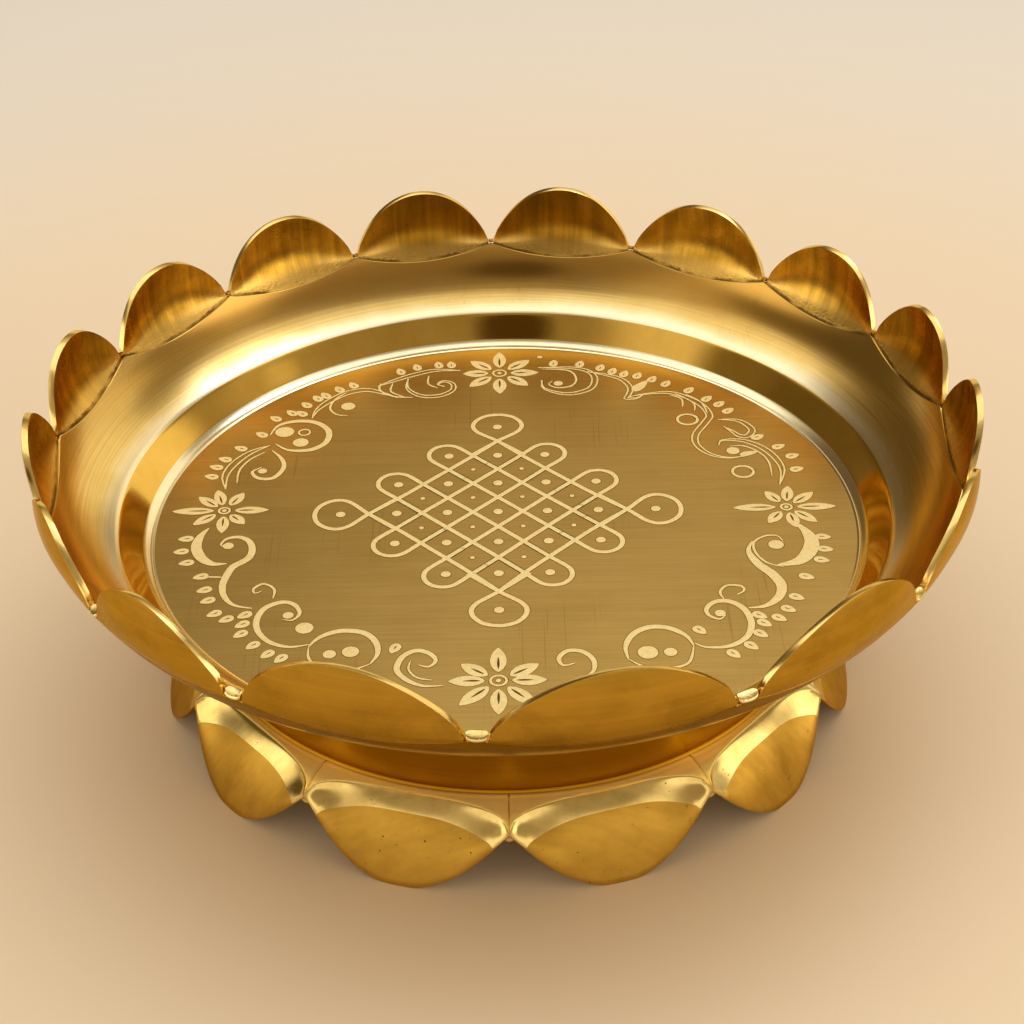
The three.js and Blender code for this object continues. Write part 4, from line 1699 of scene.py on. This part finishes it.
@dataclass
class Studio:
    """The plain floor, the soft lights and the camera."""

    floor_size: float = 4.0
    table_colour: Colour = (0.83, 0.68, 0.50)
    floor_colour: Colour = (0.78, 0.74, 0.70)
    wall_colour: Colour = (0.80, 0.70, 0.56)
    front_glow: Colour = (1.35, 1.17, 0.93)
    seen_colour: Colour = (0.80, 0.70, 0.57)
    table_edge: tuple[float, float] = (0.25, 0.70)
    fade: tuple[float, float] = (0.85, 1.9)
    floor_roughness: float = 0.55
    near_to_far: tuple[float, float] = (-0.3, 0.3)
    walls_top: tuple[float, float] = (0.2, 0.34)
    glow_bottom: tuple[float, float] = (0.02, 0.12)
    glow_top: tuple[float, float] = (0.34, 0.48)
    glow_sides: tuple[float, float] = (-0.55, -0.25)
    far_stops: Stops = ((0.30, (0.27, 0.20, 0.105)), (0.48, (0.40, 0.30, 0.17)), (0.62, (0.66, 0.52, 0.33)),
                        (0.76, (0.96, 0.83, 0.60)), (1.0, (0.88, 0.77, 0.58)))
    near_stops: Stops = ((0.30, (0.50, 0.40, 0.27)), (0.60, (0.42, 0.32, 0.20)), (0.88, (0.34, 0.265, 0.165)),
                         (0.955, (0.42, 0.33, 0.21)), (1.0, (0.84, 0.73, 0.54)))
    camera_place: tuple[float, float, float] = (0.00154, -0.5547, 0.4287)
    pitch: float = 33.757
    roll: float = 0.0187
    lens: float = 71.14
    shift: tuple[float, float] = (0.00175, 0.00555)
    sensor: float = 36
    clip: tuple[float, float] = (0.01, 20)
    spots: tuple[RoomSpot, ...] = (
        RoomSpot((-0.46, 0.76, 0.45), 0.97, 0.88, (0.12, 0.075, 0.03)),
        RoomSpot((0.66, 0.66, 0.36), 0.97, 0.90, (1.15, 0.98, 0.68)),
        RoomSpot((0.65, 0.35, 0.67), 0.985, 0.95, (0.34, 0.26, 0.15)),
        RoomSpot((0.79, -0.12, 0.60), 0.996, 0.988, (0.85, 0.72, 0.50)),
        RoomSpot((-0.72, -0.05, 0.69), 0.95, 0.82, (0.84, 0.70, 0.48)),
        RoomSpot((-0.84, 0.0, 0.54), 0.98, 0.94, (0.22, 0.16, 0.07)),
        RoomSpot((-0.89, 0.32, 0.32), 0.975, 0.90, (0.14, 0.10, 0.04)),
        RoomSpot((-0.05, -0.61, 0.79), 0.992, 0.976, (0.08, 0.045, 0.015)),
        RoomSpot((-0.93, -0.30, 0.19), 0.97, 0.89, (2.0, 1.77, 1.42)),
        RoomSpot((0.93, -0.30, 0.19), 0.97, 0.89, (2.5, 2.2, 1.78)),
    )
    boxes: tuple[Softbox, ...] = (
        Softbox("overhead_softbox", (0.02, 0.42, 1.30), (2.30, 1.15), 0.52, (0.02, 0.42, 0)),
        Softbox("fill_softbox", (0.02, 0.08, 1.40), (2.40, 1.40), 0.82, (0.02, 0.08, 0), mirrored=False),
        Softbox("bright_softbox", (0.50, 0.52, 1.15), (0.55, 0.42), 1.3),
    )

    def camera(self) -> None:
        """Place the camera where the photograph was taken from."""
        data = bpy.data.cameras.new("camera")
        data.sensor_width, data.lens = self.sensor, self.lens
        data.shift_x, data.shift_y = self.shift
        data.clip_start, data.clip_end = self.clip
        camera = bpy.data.objects.new("camera", data)
        pitch = radians(self.pitch)
        ahead = Vector((0, cos(pitch), -sin(pitch)))
        right, up = Vector((1, 0, 0)), Vector((0, sin(pitch), cos(pitch)))
        tilted_right = right * cos(self.roll) - up * sin(self.roll)
        tilted_up = right * sin(self.roll) + up * cos(self.roll)
        turn = Matrix((tilted_right, tilted_up, -ahead)).transposed().to_4x4()
        camera.matrix_world = Matrix.Translation(self.camera_place) @ turn
        bpy.context.scene.collection.objects.link(camera)
        bpy.context.scene.camera = camera

    def floor(self) -> None:
        """Lay the floor."""
        bm = bmesh.new()
        bmesh.ops.create_grid(bm, x_segments=1, y_segments=1, size=self.floor_size / 2)
        mesh = bpy.data.meshes.new("floor")
        bm.to_mesh(mesh)
        bm.free()
        nodes = Nodes.of_material("pale_floor")
        away = nodes.node("VectorMath", {0: nodes.place()}, operation="LENGTH").outputs["Value"]
        beyond = nodes.remap(away, *self.table_edge)
        colour = nodes.blend(beyond, rgb(*self.table_colour), rgb(*self.floor_colour))
        nodes.put(nodes.shader.inputs["Base Color"], colour)
        nodes.put(nodes.shader.inputs["Alpha"], nodes.remap(away, *self.fade, 1, 0))
        nodes.put(nodes.shader.inputs["Roughness"], self.floor_roughness)
        mesh.materials.append(nodes.material)
        floor = bpy.data.objects.new("floor", mesh)
        bpy.context.scene.collection.objects.link(floor)

    def softbox(self, box: Softbox) -> None:
        """Hang one softbox."""
        light = bpy.data.lights.new(box.name, "AREA")
        light.shape = "ELLIPSE"
        light.size, light.size_y = box.size
        light.energy = box.radiance * pi * box.size[0] * box.size[1] * pi / 4
        lamp = bpy.data.objects.new(box.name, light)
        way = Vector(box.aim) - Vector(box.place)
        lamp.matrix_world = Matrix.Translation(box.place) @ way.to_track_quat("-Z", "Y").to_matrix().to_4x4()
        lamp.visible_glossy = box.mirrored
        bpy.context.scene.collection.objects.link(lamp)

    def world(self) -> None:
        """Give the room pale walls, a brighter far side and a darker side behind the camera."""
        world = bpy.data.worlds.new("room")
        bpy.context.scene.world = world
        room = Nodes.of_world(world)
        way = room.node("TexCoord", {}).outputs["Generated"]
        y, z = room.parts(way)[1:]
        near, far = self.ramp(room, z, self.near_stops), self.ramp(room, z, self.far_stops)
        upper = room.blend(room.remap(y, *self.near_to_far), near, far)
        colour = room.blend(room.remap(z, *self.walls_top), rgb(*self.wall_colour), upper)
        low = room.times(room.remap(z, *self.glow_bottom), room.remap(z, *self.glow_top, 1, 0))
        glow = room.times(low, room.remap(y, *self.glow_sides, 1, 0))
        colour = room.blend(glow, colour, rgb(*self.front_glow))
        for spot in self.spots:
            dot = room.node("VectorMath", {0: way, 1: spot.way}, operation="DOT_PRODUCT").outputs["Value"]
            colour = room.blend(room.remap(dot, spot.edge, spot.core), colour, rgb(*spot.colour))
        seen = room.node("LightPath", {}).outputs["Is Camera Ray"]
        colour = room.blend(seen, colour, rgb(*self.seen_colour))
        background = room.node("Background", {0: colour, 1: 1.0})
        room.tree.links.new(background.outputs[0], room.output.inputs[0])

    @staticmethod
    def ramp(room: Nodes, value: Socket, stops: Stops) -> Socket:
        """Return the colour at a value between stops.

        Args:
            room: The world's nodes.
            value: The value, from 0 to 1.
            stops: Values, each with its colour.

        Returns:
            The colour.
        """
        made = room.node("ValToRGB", {0: value})
        elements = made.color_ramp.elements
        while len(elements) < len(stops):
            elements.new(0.5)
        for element, (place, colour) in zip(elements, stops):
            element.position, element.color = place, rgb(*colour)
        return made.outputs[0]

    def build(self) -> None:
        """Build the studio."""
        self.camera()
        self.floor()
        self.world()
        for box in self.boxes:
            self.softbox(box)
        bpy.context.scene.view_settings.view_transform = "Standard"


def main() -> None:
    """Build the bowl in order, then the studio, logging each part as it is built."""
    logging.basicConfig(level=logging.INFO, format="%(message)s")
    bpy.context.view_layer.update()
    for part in (Pan(), Kolam(), FloralBorder(), RimPetals(), NECK, FootPetals()):
        part.build()
        log.info("%s built", type(part).__name__)
    Studio().build()


if __name__ == "__main__":
    main()
